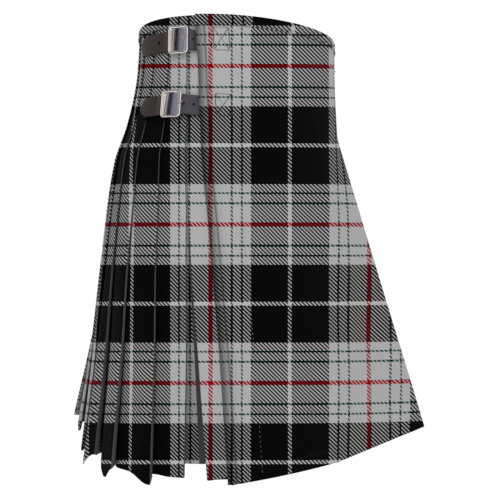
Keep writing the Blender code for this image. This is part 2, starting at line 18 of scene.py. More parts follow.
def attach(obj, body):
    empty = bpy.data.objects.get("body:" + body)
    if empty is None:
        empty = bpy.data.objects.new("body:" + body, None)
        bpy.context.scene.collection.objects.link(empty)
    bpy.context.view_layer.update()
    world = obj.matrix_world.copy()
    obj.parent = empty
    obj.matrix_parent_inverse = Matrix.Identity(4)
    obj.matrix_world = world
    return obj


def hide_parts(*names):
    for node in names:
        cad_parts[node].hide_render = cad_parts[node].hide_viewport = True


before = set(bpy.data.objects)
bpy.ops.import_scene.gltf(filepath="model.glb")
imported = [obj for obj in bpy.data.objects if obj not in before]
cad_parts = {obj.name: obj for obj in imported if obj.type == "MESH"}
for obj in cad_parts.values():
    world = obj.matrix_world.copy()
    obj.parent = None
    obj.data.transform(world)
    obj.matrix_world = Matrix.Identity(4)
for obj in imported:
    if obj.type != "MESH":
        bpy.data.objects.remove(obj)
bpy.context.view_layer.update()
MM = 0.001
print("nodes in the frame:", len(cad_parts))

# %% [markdown]
# ## The camera
# A kilt is best seen from the wearer's right, where the over apron closes. The camera stands level with the
# thigh, a little over a metre away, and looks straight ahead, so upright folds stay upright in the picture.

# %% Camera
CAMERA_TURN = -38.5  # degrees round from straight in front, towards the wearer's right
CAMERA_AWAY = 1184.0  # from the kilt's upright axis
CAMERA_ASIDE = 16.0  # to the left of that axis
CAMERA_LEVEL = -278.0  # against the waist
LENS, SENSOR = 57.6, 36.0

turn = math.radians(-CAMERA_TURN)
CAMERA_RIGHT = Vector((math.cos(turn), -math.sin(turn), 0.0))
CAMERA_AHEAD = Vector((math.sin(turn), math.cos(turn), 0.0))
camera_at = CAMERA_AHEAD * -CAMERA_AWAY + CAMERA_RIGHT * CAMERA_ASIDE + Vector((0.0, 0.0, CAMERA_LEVEL))
bpy.ops.object.camera_add(location=camera_at * MM, rotation=(math.pi / 2, 0.0, math.radians(CAMERA_TURN)))
camera = bpy.context.object
camera.name = "camera_right_front"
camera.data.lens = LENS
camera.data.sensor_width = SENSOR
camera.data.dof.use_dof = False
bpy.context.scene.camera = camera
print("camera at", [round(v, 3) for v in camera.location])

# %% [markdown]
# ## The form that the cloth is worn on
# A worn skirt is a tube that follows an oval ring: small at the waist, wider at the hips, widest at the
# hem. A table of half-axes at seven distances down the cloth describes it, and smooth curves join the rows.
# Everything is worked out in millimetres first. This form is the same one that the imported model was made
# on.

# %% Sizes of the form
LENGTH = 596.0  # cloth from the top edge to the hem
ORIGIN_DOWN = 30.0  # the waist, below the top edge
FORM = (
    # down, left, right, front, back
    (0.0, 151.0, 154.0, 114.0, 116.0),
    (60.0, 152.0, 157.0, 115.0, 124.0),
    (130.0, 155.0, 169.0, 119.0, 146.0),
    (190.0, 162.0, 185.0, 124.0, 173.0),
    (320.0, 188.0, 198.0, 139.0, 212.0),
    (450.0, 222.0, 206.0, 155.0, 248.0),
    (LENGTH, 258.0, 216.0, 165.0, 300.0),
)
EDGES = (
    # down, then as ring angles: free edge of the over apron, first pleat's fold, under apron's fold
    (0.0, 216.2, 209.5, 211.0),
    (90.0, 219.5, 212.0, 213.5),
    (180.0, 225.0, 217.0, 218.5),
    (280.0, 229.0, 219.0, 220.5),
    (430.0, 232.0, 219.0, 223.5),
    (LENGTH, 235.3, 219.0, 227.9),
)
FREE_EDGE, FIRST_FOLD, UNDER_FOLD = 1, 2, 3
LEFT_FOLD = -31.0
SWING = (
    # angle, out: how the pleats swing in and out at the hem
    (-60.0, 0.0),
    (-20.0, 0.0),
    (10.0, 6.0),
    (32.0, -5.0),
    (58.0, 7.0),
    (84.0, -4.0),
    (104.0, 6.0),
    (118.0, -3.0),
    (132.0, 8.0),
    (143.0, -1.0),
    (153.0, -5.0),
    (164.0, 3.0),
    (174.0, -3.0),
    (185.0, 5.0),
    (194.0, -2.0),
    (203.0, 4.0),
    (212.0, -3.0),
    (222.0, 0.0),
    (420.0, 0.0),
)
LAYER, LAYER_OPEN = 1.6, 4.4  # how far apart a pleat's layers lie, where they are sewn down and at the hem
SEWN_DOWN = 230.0  # distance down to which the pleats are sewn
OPENING = 1.4  # power of the curve by which they open below that


# %% Curves through the tables
def eased(x, rows, column):
    """A smooth curve through one column of a table, which never overshoots its rows."""
    table = np.array(rows, float)
    xs, ys = table[:, 0], table[:, column]
    step = np.diff(xs)
    rate = np.diff(ys) / step
    both = rate[:-1] * rate[1:]
    total = np.where(both > 0, rate[:-1] + rate[1:], 1.0)
    slope = np.concatenate([rate[:1], np.where(both > 0, 2 * both / total, 0.0), rate[-1:]])
    k = np.clip(np.searchsorted(xs, x) - 1, 0, len(rate) - 1)
    t = (x - xs[k]) / step[k]
    start, end = ys[k] + 0.0, ys[k + 1] + 0.0
    return (
        (1 + 2 * t) * (1 - t) ** 2 * start
        + t * (1 - t) ** 2 * step[k] * slope[k]
        + t * t * (3 - 2 * t) * end
        + t * t * (t - 1) * step[k] * slope[k + 1]
    )


def smooth(x, low, high):
    """0 below low, 1 above high, with soft ends."""
    t = np.clip((np.asarray(x, float) - low) / (high - low), 0.0, 1.0)
    return t * t * (3 - 2 * t)


def opened(down):
    """How far the pleats have opened: 0 where they are sewn down, 1 at the hem."""
    return (max(down - SEWN_DOWN, 0.0) / (LENGTH - SEWN_DOWN)) ** OPENING


def layer_pitch(down):
    return LAYER + (LAYER_OPEN - LAYER) * opened(down)


def plan_of(axes, angles, out=0.0):
    """Plan points on an oval ring of four half-axes, moved out along its normal."""
    left, right, front, back = axes
    c, s = np.cos(np.radians(angles)), np.sin(np.radians(angles))
    along_x, along_y = np.where(c >= 0, left, right), np.where(s >= 0, back, front)
    normal = np.stack([c * along_y, s * along_x], -1)
    normal /= np.linalg.norm(normal, axis=-1, keepdims=True)
    return np.stack([along_x * c, along_y * s], -1) + normal * np.reshape(out, (-1, 1))


def half_axes(down):
    return [float(eased(down, FORM, column)) for column in (1, 2, 3, 4)]


# %% How the cloth falls
FALL_STEP = 4.0
FALL_DOWN = np.arange(0.0, LENGTH + 0.5 * FALL_STEP, FALL_STEP)
RING_START, RING_END = -60.0, 420.0  # a ring runs on past one full turn, so that no piece meets its seam
RING_ANGLES = np.arange(RING_START, RING_END + 0.5, 1.0)


def fallen(plans):
    """Heights along lines of cloth, from their plan points at each step down: what swings out falls less."""
    aside = np.linalg.norm(np.diff(plans, axis=0), axis=-1)
    drops = np.sqrt(np.maximum(FALL_STEP**2 - aside**2, 0.0))
    return -np.concatenate([np.zeros((1, *drops.shape[1:])), np.cumsum(drops, axis=0)])


FALL = fallen(np.array([plan_of(half_axes(d), RING_ANGLES) for d in FALL_DOWN]))
hem_highest, hem_lowest = round(-float(FALL[-1].max())), round(-float(FALL[-1].min()))
print("the hem hangs", hem_highest, "to", hem_lowest, "mm below the top edge")


# %% [markdown]
# ## The check follows the cloth
# Tartan is woven square, so its pattern is laid out in thread positions: across and down. On the aprons the
# check hangs plumb: its upright lines lie in upright planes that fan out from one plumb line in front of
# the right hip, and the cloth between them is eased in, as a maker shapes an apron. Round the back the
# cloth is pleated to the sett: each pleat shows the next stretch of the pattern, so the check runs on
# across the folds.

# %% Across the check
SETT = 209.0  # one repeat of the check
SETT_DOWN = 64.0  # the first red line, below the top edge
PLUMB = camera_at.copy()
LINES_APART = 0.198125  # slope, seen from the plumb line, between the same line of neighbouring repeats
SETT_ASIDE = -0.049375  # slope at which the first red upright lies
RATE_LEAST, RATE_MOST = 0.36, 1.08  # how much the cloth may be eased or stretched across
RECOVERY = 70.0  # past the hip, the distance over which the check comes back to its own width
FIRST_DOWN = -0.23  # slope, from the eye's level, at which the first red line across lies
LEVEL_SHARE = 0.98  # how nearly the lines across run level to the eye, rather than level in the room
LEVEL_REACH = 480.0  # distance behind the front over which that works
CHECK_FROM = 228.0


def slope_from_plumb(points):
    """Where points lie sideways, seen from the plumb line: millimetres of check from its first red line."""
    way = np.asarray(points)[:, :2] - np.array(PLUMB[:2])
    aside = way @ np.array(CAMERA_RIGHT[:2]) / (way @ np.array(CAMERA_AHEAD[:2]))
    return (aside - SETT_ASIDE) / LINES_APART * SETT


def check_across(points, start=0):
    """Millimetres of check along a line of cloth points, plumb where the cloth faces forward."""
    seen = slope_from_plumb(points)
    steps = np.linalg.norm(np.diff(points[:, :2], axis=0), axis=1)
    rates = np.diff(seen) / np.maximum(steps, 1e-9)
    away = rates <= 0.0
    rates = np.clip(rates, RATE_LEAST, RATE_MOST)
    run = np.cumsum(steps)
    ahead = np.flatnonzero(away & (run > run[start]))
    behind = np.flatnonzero(away & (run < run[start]))
    for hip, side in ((ahead[:1], 1), (behind[-1:], -1)):
        if len(hip):
            rates = rates + (1.0 - rates) * smooth(side * (run - run[hip[0]]), 0.0, RECOVERY)
    across = np.concatenate([[0.0], np.cumsum(rates * steps)])
    return across - across[start] + seen[start]


# %% Rings of the form
class Ring:
    """The form's ring at one distance down, measured by arc length."""

    def __init__(self, down):
        self.down = down
        self.axes = half_axes(down)
        plan = plan_of(self.axes, RING_ANGLES)
        self.arcs = np.concatenate([[0.0], np.cumsum(np.linalg.norm(np.diff(plan, axis=0), axis=1))])
        step = min(down / FALL_STEP, len(FALL_DOWN) - 1.001)
        k = int(step)
        self.heights = FALL[k] * (1 - step + k) + FALL[k + 1] * (step - k)
        self.swings = eased(RING_ANGLES, SWING, 1) * opened(down)
        self.check = check_across(plan, int(np.searchsorted(RING_ANGLES, CHECK_FROM)))

    def arc(self, angle):
        return float(np.interp(angle, RING_ANGLES, self.arcs))

    def edge(self, column):
        return self.arc(float(eased(self.down, EDGES, column)))

    def away(self, angle):
        """Distance ahead of the camera."""
        return float((plan_of(self.axes, [angle])[0] - np.array(PLUMB[:2])) @ np.array(CAMERA_AHEAD[:2]))

    def angle(self, arcs):
        return np.interp(arcs, self.arcs, RING_ANGLES)

    def across(self, arcs):
        return np.interp(arcs, self.arcs, self.check)

    def at(self, arcs, out=0.0):
        arcs = np.atleast_1d(np.asarray(arcs, float))
        angles = self.angle(arcs)
        swing = np.interp(angles, RING_ANGLES, self.swings)
        plan = plan_of(self.axes, angles, np.broadcast_to(out, arcs.shape) + swing)
        return np.column_stack([plan, np.interp(angles, RING_ANGLES, self.heights)])


PLAIN_RINGS = 68  # rings from the top edge to just above the turned hem
HEM_UPS = (22.0, 19.0, 17.5, 16.0, 13.0, 7.0, 2.5, 0.0)  # heights of the closer rings round the turned hem
LEVELS = [*np.linspace(0.0, LENGTH - 28.0, PLAIN_RINGS), *(LENGTH - up for up in HEM_UPS)]
RINGS = [Ring(down) for down in LEVELS]
hem_round = RINGS[-1].arc(RING_START + 360.0) - RINGS[-1].arc(RING_START)
print(len(RINGS), "rings; round the hem", round(hem_round), "mm")

# %% [markdown]
# ## Creases
# Pressed wool hangs smoothly, but where a strap pulls, where the wearer's hip fills it, and where the hem
# swings free there are long soft troughs and ridges. Each is a row in a table: where its middle is, how far
# it leans, how long, wide and deep it is. No two are alike. They could be sculpted by hand or left to a
# cloth simulation, but a table can be read and changed, and gives the same cloth each time.


# %% Soft troughs and ridges
def creased(across, down, rows):
    """How far out of its form the cloth stands at a place, from a table of creases."""
    out = np.zeros(np.broadcast(across, down).shape)
    for middle, middle_down, lean, long, wide, deep in rows:
        turned = math.radians(lean)
        x, y = across - middle, down - middle_down
        sideways = x * math.cos(turned) + y * math.sin(turned)
        lengthways = (y * math.cos(turned) - x * math.sin(turned)) / (0.5 * long)
        fade = np.cos(np.clip(np.abs(lengthways), 0.0, 1.0) * math.pi / 2) ** 2
        out = out + deep * np.exp(-((sideways / wide) ** 2)) * fade
    return out


# %% [markdown]
# ## A sheet of cloth
# Cloth is modelled as one grid of points, a row for each ring, joined by four-cornered faces. Its UV map
# holds the thread positions of the check, so the pattern follows the cloth whichever way it folds, as an
# unwrapped UV map of a folded sheet would not. Solidify gives the sheet the thickness of the wool, and is
# applied.


# %% Making a sheet
def only(thing):
    """Selects one object alone."""
    bpy.ops.object.select_all(action="DESELECT")
    thing.select_set(True)
    bpy.context.view_layer.objects.active = thing


def placed(name, mesh, finish):
    """Puts a finished mesh in the scene as an object, with its material."""
    thing = bpy.data.objects.new(name, mesh)
    bpy.context.scene.collection.objects.link(thing)
    mesh.materials.append(finish)
    only(thing)
    return thing


def sheet_mesh(name, rows, across, downs, thickness, finish, **marks):
    """A sheet through rows of points in millimetres, with the check's place of each point as its UV map.

    The marks are numbers for each point that the material reads. On wool, "inside" is painted shade: where a
    pleat opens, its inner side is painted plain dark grey; the other mark is painted shade where a turned
    edge rolls under and along the band's lower edge. On leather, "inside" is painted sheen: a greyer, bluer
    root of a strap; the other mark is its dyed edge, and painted shade round each hole.
    """
    points = np.array(rows)
    high, wide = points.shape[:2]
    points = points.reshape(-1, 3) + np.array([0.0, 0.0, ORIGIN_DOWN])
    mesh = bpy.data.meshes.new(name)
    j, i = np.meshgrid(np.arange(wide - 1), np.arange(high - 1))
    a = (i * wide + j).ravel()
    faces = np.column_stack([a, a + wide, a + wide + 1, a + 1])
    mesh.from_pydata(points * MM, [], faces.tolist())
    uv = mesh.uv_layers.new(name="threads")
    place = np.column_stack([np.array(across).ravel(), np.array(downs).ravel()]) * MM
    corners = np.zeros(len(mesh.loops), int)
    mesh.loops.foreach_get("vertex_index", corners)
    uv.data.foreach_set("uv", place[corners].ravel())
    for key in ("inside", "pressed"):
        mark = mesh.attributes.new(key, "FLOAT", "POINT")
        mark.data.foreach_set("value", np.array(marks.get(key, np.zeros((high, wide))), float).ravel())
    sheet = placed(name, mesh, finish)
    wall = sheet.modifiers.new("wall", "SOLIDIFY")
    wall.thickness = thickness * MM
    wall.offset = 0.0
    wall.use_even_offset = False
    bpy.ops.object.modifier_apply(modifier="wall")
    bpy.ops.object.shade_smooth_by_angle(angle=math.radians(50.0))
    return sheet


# %% [markdown]
# ## Colours and nodes
# Colours are written as they look on a screen, in hexadecimal, and one function turns them into the linear
# values that Blender mixes light with. Node trees could be drawn by hand in the shader editor. Here one
# helper adds a node of any kind, sets it and links it, so a whole finish reads from top to bottom.


# %% Helpers for materials
def screen(code):
    """A hex colour such as 'b8b8b6' as red, green and blue from 0 to 1, as it looks on a screen."""
    return [int(code[i : i + 2], 16) / 255 for i in (0, 2, 4)]


def linear(code):
    """The same colour as linear red, green, blue and alpha."""
    return (*[c / 12.92 if c <= 0.04045 else ((c + 0.055) / 1.055) ** 2.4 for c in screen(code)], 1.0)


def set_sockets(tree, node, sockets):
    """Gives each input its value: a number, a colour, or an output of another node."""
    for key, value in sockets.items():
        socket = node.inputs[key if isinstance(key, int) else key.replace("_", " ")]
        if isinstance(value, bpy.types.NodeSocket):
            tree.links.new(value, socket)
        else:
            socket.default_value = value


def add_node(tree, kind, *inputs, out=0, **more):
    """Adds a node and gives one of its outputs.

    Inputs are given in their order, by name with a capital, or by number, such as _6. A name in small letters
    is a setting of the node.
    """
    node = tree.nodes.new("ShaderNode" + kind)
    sockets = dict(enumerate(inputs))
    for key, value in more.items():
        if key[0].islower():
            setattr(node, key, value)
        else:
            sockets[int(key[1:]) if key[0] == "_" else key] = value
    set_sockets(tree, node, sockets)
    return node.outputs[out]


def new_material(name, **sockets):
    made = bpy.data.materials.new(name)
    made.use_nodes = True
    tree = made.node_tree
    shader = tree.nodes["Principled BSDF"]
    set_sockets(tree, shader, sockets)
    return made, tree, shader


OF_COLOURS = {"data_type": "RGBA", "out": 2}  # what makes a Mix node mix colours
WITH_SOFT_ENDS = {"interpolation_type": "SMOOTHSTEP"}
print("a mid grey in linear light:", round(linear("808080")[0], 3))

# %% [markdown]
# ## Tartan
# Tartan is a two-up, two-down twill of dyed worsted yarn. The same striped order of yarns, the sett, is
# used for the warp and the weft. Where two colours cross, the twill shows them as fine diagonal lines. The
# sett is charted as a list of yarns from one pivot to the other, and the ping-pong of a coordinate reads it
# forwards and back. Yarns are drawn at 1.3 mm, about twice their real pitch, because a finer twill wouldn't
# show from a step away.

# %% The sett
HALF_SETT = (
    # colour, yarns from the red pivot to the white one
    ("7a0812", 2),
    ("979696", 18),
    ("06261c", 2),
    ("979696", 8),
    ("06261c", 2),
    ("979696", 8),
    ("0c0c0c", 37),
    ("a2a2a2", 2),
)
HALF_YARNS = sum(count for _, count in HALF_SETT)
YARN = SETT / (2 * HALF_YARNS)  # drawn width of one yarn
DARK_WINS = 0.6  # the power to which colours are mixed, so that light yarns don't wash out the dark ones
print("yarns in the sett:", 2 * HALF_YARNS, "of", round(YARN, 2), "mm")


def yarn_colour(tree, position):
    """The colour of the yarn at a thread position, from the chart, to the power DARK_WINS."""
    folded = add_node(tree, "Math", position, float(HALF_YARNS), operation="PINGPONG")
    share = add_node(tree, "Math", folded, float(HALF_YARNS), operation="DIVIDE")
    colour = add_node(tree, "ValToRGB", share)
    chart = colour.node.color_ramp
    chart.interpolation = "CONSTANT"
    chart.elements.remove(chart.elements[1])
    begin = 0
    for code, count in HALF_SETT:
        stop = chart.elements.new(begin / HALF_YARNS) if begin else chart.elements[0]
        stop.color = (*[part**DARK_WINS for part in screen(code)], 1.0)
        begin += count
    return colour


# %% The cloth
SHEET_WALL = 0.9  # thickness of the wool
PLEAT_SHADE_GREY = "424244"  # painted shade: the plain dark grey painted on the inner side of an open pleat


def tartan(name):
    """Worsted twill, cropped and pressed: matt, with diagonal ribs, round yarns and a slightly uneven dye,
    and with painted shade in open pleats and along turned edges.
    """
    made, tree, shader = new_material(
        name, Roughness=0.88, Sheen_Weight=0.005, Sheen_Roughness=0.5, Specular_IOR_Level=0.03
    )
    parts = add_node(tree, "SeparateXYZ", add_node(tree, "UVMap", uv_map="threads")).node
    across = add_node(tree, "Math", parts.outputs["X"], YARN * MM, operation="DIVIDE")
    below = add_node(tree, "Math", parts.outputs["Y"], SETT_DOWN * MM, operation="SUBTRACT")
    down = add_node(tree, "Math", below, YARN * MM, operation="DIVIDE")
    # The twill: which yarn is on top steps on by one at each pick, so the diagonals fall to the right.
    step = add_node(tree, "Math", across, down, operation="SUBTRACT")
    quarter = add_node(tree, "Math", step, 4.0, 0.0, operation="WRAP")
    wave = add_node(tree, "Math", quarter, 2.0, operation="PINGPONG")
    on_top = add_node(tree, "MapRange", wave, 0.15, 1.6, **WITH_SOFT_ENDS)
    warp_colour, weft_colour = yarn_colour(tree, across), yarn_colour(tree, down)
    crossed = add_node(tree, "Mix", on_top, _6=warp_colour, _7=weft_colour, **OF_COLOURS)
    woven = add_node(tree, "Gamma", crossed, 2.2 / DARK_WINS)
    # Painted shade: where a pleat opens, its inner side is painted plain dark grey.
    inside = add_node(tree, "Attribute", attribute_name="inside", out="Fac")
    shade_painted_in = add_node(tree, "MapRange", inside, 0.35, 0.65, **WITH_SOFT_ENDS)
    mixed = add_node(tree, "Mix", shade_painted_in, _6=woven, _7=linear(PLEAT_SHADE_GREY), **OF_COLOURS)
    # Worsted yarn is a little uneven: slow changes of tone over about 40 mm, and finer ones, over about 2 mm,
    # from yarn to yarn.
    place = add_node(tree, "TexCoord", out="Object")
    cloudy = add_node(tree, "TexNoise", Vector=place, Scale=26.0, Detail=3.0, Roughness=0.55)
    slub = add_node(tree, "TexNoise", Vector=place, Scale=420.0, Detail=2.0)
    slow = add_node(tree, "Math", cloudy, 0.10, operation="MULTIPLY")
    tone = add_node(tree, "Math", slub, 0.14, slow, operation="MULTIPLY_ADD")
    bright = add_node(tree, "Math", tone, 0.88, operation="ADD")
    # Painted shade: a mark darkens the cloth where the over apron's free edge rolls under, along the ridge of
    # its turning, and along the band's lower edge.
    pressed = add_node(tree, "Attribute", attribute_name="pressed", out="Fac")
    not_pressed = add_node(tree, "Math", 1.0, pressed, operation="SUBTRACT")
    value = add_node(tree, "Math", bright, not_pressed, operation="MULTIPLY")
    toned = add_node(tree, "HueSaturation", Value=value, Color=mixed)
    # Relief: the diagonal ribs, and the roundness of each yarn.
    warp = add_node(tree, "Math", across, 0.5, operation="PINGPONG")
    weft = add_node(tree, "Math", down, 0.5, operation="PINGPONG")
    round_yarns = add_node(tree, "Math", warp, weft, operation="ADD")
    relief = add_node(tree, "Math", wave, 0.5, round_yarns, operation="MULTIPLY_ADD")
    bump = add_node(tree, "Bump", Strength=0.35, Distance=0.0004, Height=relief)
    set_sockets(tree, shader, {"Base Color": toned, "Normal": bump})
    return made


kilt_wool = tartan("worsted_tartan_twill")
print(kilt_wool.name, "nodes", len(kilt_wool.node_tree.nodes))


# %% What each cloth piece replaces
def declare_cloth(made, node):
    """Hides the imported node that a sheet stands for, and attaches the sheet to the root body."""
    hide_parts(node)
    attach(made, "root")


# %% [markdown]
# ## Over apron
# The over apron is a wide flat panel. Its free edge, at the wearer's right, is turned under and stitched,
# so it is softly rounded and a little thicker. On the left it is folded back, where the last pleat is sewn
# to it. Below the hip it swings straight out to its left corner. It could be draped by a cloth simulation,
# but pressed wool lies where the maker puts it, so its section is worked out on every ring of the form, and
# a table of creases softens it.

# %% Over apron's sizes
APRON_OUT = 5.2  # how far it stands off the form
APRON_FLARE_FROM = 135.0  # distance down from which its left fold swings straight out
APRON_CORNER = (240.0, -150.0)  # where that fold ends, in plan
APRON_TURN = 34.0  # width folded back at the left
APRON_DROP, APRON_DROP_WIDE = 9.0, 150.0  # how much lower its hem hangs at the free edge, and over what width
LEAVES_AFTER = 250.0  # ring angle past which it leaves the form for its corner
CHECK_FROM_EDGE = 8.0  # distance from the free edge from which its check is laid out
EDGE_TURNED = 11.0  # width of the turned free edge
EDGE_FALLS, EDGE_FALLS_WIDE = 5.6, 5.2  # how far the free edge curves in, and over what width
EDGE_THICKER, EDGE_THICKER_WIDE = 1.7, 5.0  # how far its turning lifts it, and over what width that sets in
EDGE_GROOVE, EDGE_GROOVE_WIDE = 0.9, 1.3  # depth and width of the pressed line along that turning
STRAPS_OUT = (33.0, 120.5)  # distances down at which straps come out under that edge
STRAP_LIFTS = 19.0  # how far up and down each one holds the edge up
STRAP_LIFTED = 0.88  # share of the edge's curve that it takes out
HEM_TURNED = 17.5  # height of the turned hem
HEM_GROOVE, HEM_GROOVE_TALL = 0.35, 1.6  # depth and height of the pressed line along it
# points over the turned edge, across the rest of the front, and across the width folded back
EDGE_COLUMNS = (0.0, 1.2, 2.6, 4.4, 6.6, 8.6, 9.8, 10.5, 11.0, 11.5, 12.4, 14.4, 18.0)
APRON_COLUMNS, TURN_COLUMNS = 103, 10
FRONT_FROM, FRONT_SHORT = 22.0, 3.0  # where the even points begin, and how far short of the fold they end
APRON_FOLD = np.radians([55.0, 90.0, 125.0])  # points round the left fold
APRON_FOLD_ROUND = 1.0  # how far in from its outermost line that rounding begins
CREASED_FROM = (4.0, 40.0)  # distances from the free edge between which the creases set in
APRON_CREASES = (
    # across from the free edge, down, lean, long, wide, deep
    (120.0, 60.0, 62.0, 90.0, 9.0, -0.9),
    (96.0, 118.0, 80.0, 110.0, 8.0, 0.7),
    (150.0, 205.0, 14.0, 210.0, 22.0, -1.3),
    (215.0, 300.0, -9.0, 330.0, 26.0, 1.6),
    (70.0, 330.0, 5.0, 260.0, 18.0, 1.1),
    (118.0, 470.0, -4.0, 280.0, 24.0, -1.7),
    (190.0, 505.0, 3.0, 240.0, 30.0, 1.9),
    (272.0, 470.0, -12.0, 300.0, 26.0, -1.8),
    (330.0, 520.0, -14.0, 220.0, 20.0, 1.5),
    (36.0, 520.0, 2.0, 170.0, 13.0, -1.0),
)


# %% The over apron's section
def apron_leaves(down):
    """Plan of the over apron's left fold, on the form at first and then swinging straight out."""
    touch = plan_of(half_axes(min(down, APRON_FLARE_FROM)), [LEFT_FOLD], APRON_OUT)[0]
    share = max(down - APRON_FLARE_FROM, 0.0) / (LENGTH - APRON_FLARE_FROM)
    return touch * (1 - share) + np.array(APRON_CORNER) * share


corner_fall = fallen(np.array([apron_leaves(d) for d in FALL_DOWN]))


class ApronLine:
    """The over apron's section at one distance down, from its free edge to its left fold."""

    def __init__(self, ring):
        self.ring = ring
        self.free = ring.edge(FREE_EDGE)
        self.corner = apron_leaves(ring.down)
        leaves = LEFT_FOLD + 360.0
        if ring.down > APRON_FLARE_FROM:
            angles = np.arange(LEAVES_AFTER, leaves, 0.1)
            way = plan_of(ring.axes, angles, APRON_OUT) - self.corner
            leaves = angles[np.argmax(np.arctan2(way[:, 1], way[:, 0]) % (2 * math.pi))]
        self.on_ring = ring.arc(leaves) - self.free
        self.begin = plan_of(ring.axes, [leaves], APRON_OUT)[0]
        self.straight = float(np.linalg.norm(self.corner - self.begin))
        self.width = self.on_ring + self.straight
        self.heights = (
            float(np.interp(leaves, RING_ANGLES, ring.heights)),
            float(np.interp(ring.down, FALL_DOWN, corner_fall)),
        )
        self.path = np.linspace(0.0, self.width, 160)
        self.check = check_across(self.at(self.path), int(np.searchsorted(self.path, CHECK_FROM_EDGE)))

    def at(self, along, out=0.0):
        along = np.atleast_1d(np.asarray(along, float))
        out = np.broadcast_to(out, along.shape)
        round_part = self.ring.at(self.free + np.minimum(along, self.on_ring), APRON_OUT + out)
        share = np.clip((along - self.on_ring) / max(self.straight, 1e-6), 0.0, 1.0)[:, None]
        way = (self.corner - self.begin) / max(self.straight, 1e-6)
        flat = self.begin * (1 - share) + self.corner * share + np.array([way[1], -way[0]]) * out[:, None]
        flat = np.column_stack([flat, self.heights[0] * (1 - share) + self.heights[1] * share])
        points = np.where((along <= self.on_ring)[:, None] | (self.straight < 1e-6), round_part, flat)
        near_edge = np.maximum(1.0 - along / APRON_DROP_WIDE, 0.0)
        points[:, 2] -= APRON_DROP * (self.ring.down / LENGTH) ** 2 * near_edge**2
        return points

    def across(self, along):
        return np.interp(along, self.path, self.check)


# %% Its creases, turned edge and turned hem
def apron_relief(along, down):
    """The over apron's creases, turned edge and turned hem."""
    out = creased(along, down, APRON_CREASES) * smooth(along, *CREASED_FROM)
    lifted = sum(np.exp(-(((down - at) / STRAP_LIFTS) ** 6)) for at in STRAPS_OUT)
    out = out - EDGE_FALLS * (1 - STRAP_LIFTED * lifted) * np.exp(-((along / EDGE_FALLS_WIDE) ** 1.6))
    out = out + EDGE_THICKER * smooth(EDGE_TURNED - along, 0.0, EDGE_THICKER_WIDE)
    out = out - EDGE_GROOVE * np.exp(-(((along - EDGE_TURNED) / EDGE_GROOVE_WIDE) ** 2))
    return out - HEM_GROOVE * np.exp(-(((down - LENGTH + HEM_TURNED) / HEM_GROOVE_TALL) ** 2))


# %% The check, downwards
FRONT = 232.0  # ring angle of the cloth nearest to the eye
RUNS_OVER = (78.0, 130.0)  # angles between which the check turns from parallel to the hem to level
LEFT_BLEND = 45.0  # how far round the left hip it turns back
front_away = [ring.away(FRONT) for ring in RINGS]
front_height = [float(np.interp(FRONT, RING_ANGLES, ring.heights)) for ring in RINGS]


def level_down(points):
    front = np.interp(-points[:, 2], -np.array(front_height), front_away)
    behind = (points[:, :2] - np.array(PLUMB[:2])) @ np.array(CAMERA_AHEAD[:2]) - front
    away = front + LEVEL_SHARE * LEVEL_REACH * np.tanh(behind / LEVEL_REACH)
    slope = (CAMERA_LEVEL - ORIGIN_DOWN - points[:, 2]) / away
    return SETT_DOWN + (slope - FIRST_DOWN) / LINES_APART * SETT


def check_down(ring, points, dip=0.0):
    """Distance down the check: level from the left hip to the right, parallel to the hem round the back."""
    angle = (np.degrees(np.arctan2(points[:, 1], points[:, 0])) + 90.0) % 360.0 - 90.0
    level = np.maximum(smooth(angle, *RUNS_OVER), 1 - smooth(angle, LEFT_FOLD, LEFT_FOLD + LEFT_BLEND))
    return (ring.down + dip) * (1 - level) + level_down(points) * level


print("the cloth nearest to the eye is", round(front_away[0]), "to", round(front_away[-1]), "mm away")

# %% Over apron
EDGE_SHADE, EDGE_SHADE_WIDE = 0.78, 9.5  # how dark the painted shade is at the free edge, where it rolls under, and over what width
RIDGE_SHADE = 0.42  # how dark the painted shade is along the ridge of its turning


def free_edge_shade(along):
    """Painted shade on the turned free edge: most at the edge, where it rolls under, and along the ridge of
    its turning.
    """
    along = np.asarray(along, float)
    ridge = RIDGE_SHADE * np.exp(-((along - EDGE_TURNED) ** 2))
    return EDGE_SHADE * np.exp(-((along / EDGE_SHADE_WIDE) ** 1.5)) + ridge


APRON_LINES = [ApronLine(ring) for ring in RINGS]


def over_apron():
    rows, across, downs, pressed = [], [], [], []
    for line in APRON_LINES:
        ring = line.ring
        face = np.linspace(FRONT_FROM, line.width - FRONT_SHORT, APRON_COLUMNS)
        along = np.concatenate([EDGE_COLUMNS, face, [line.width - APRON_FOLD_ROUND]])
        front = line.at(along, apron_relief(along, ring.down))
        pitch = layer_pitch(ring.down)
        reach = line.width - APRON_FOLD_ROUND + np.sin(APRON_FOLD)
        turned = line.at(np.minimum(reach, line.width), pitch / 2 * (np.cos(APRON_FOLD) - 1))
        back = np.linspace(1.0, APRON_TURN, TURN_COLUMNS)
        rows.append(np.vstack([front, turned, line.at(line.width - back, -pitch)]))
        widths = np.concatenate([along, reach, line.width + back])
        across.append(line.across(widths) + np.maximum(widths - line.width, 0.0))
        downs.append(check_down(ring, rows[-1]))
        pressed.append(free_edge_shade(widths))
    made = sheet_mesh("over_apron_cloth", rows, across, downs, SHEET_WALL, kilt_wool, pressed=pressed)
    declare_cloth(made, "over_apron")


over_apron()

# %% [markdown]
# ## Under apron
# The under apron lies against the body, from its own fold at the right hip, and on under the over apron.
# Little of it shows, but the fold and the hem do, so it is made as the over apron is, ring by ring.

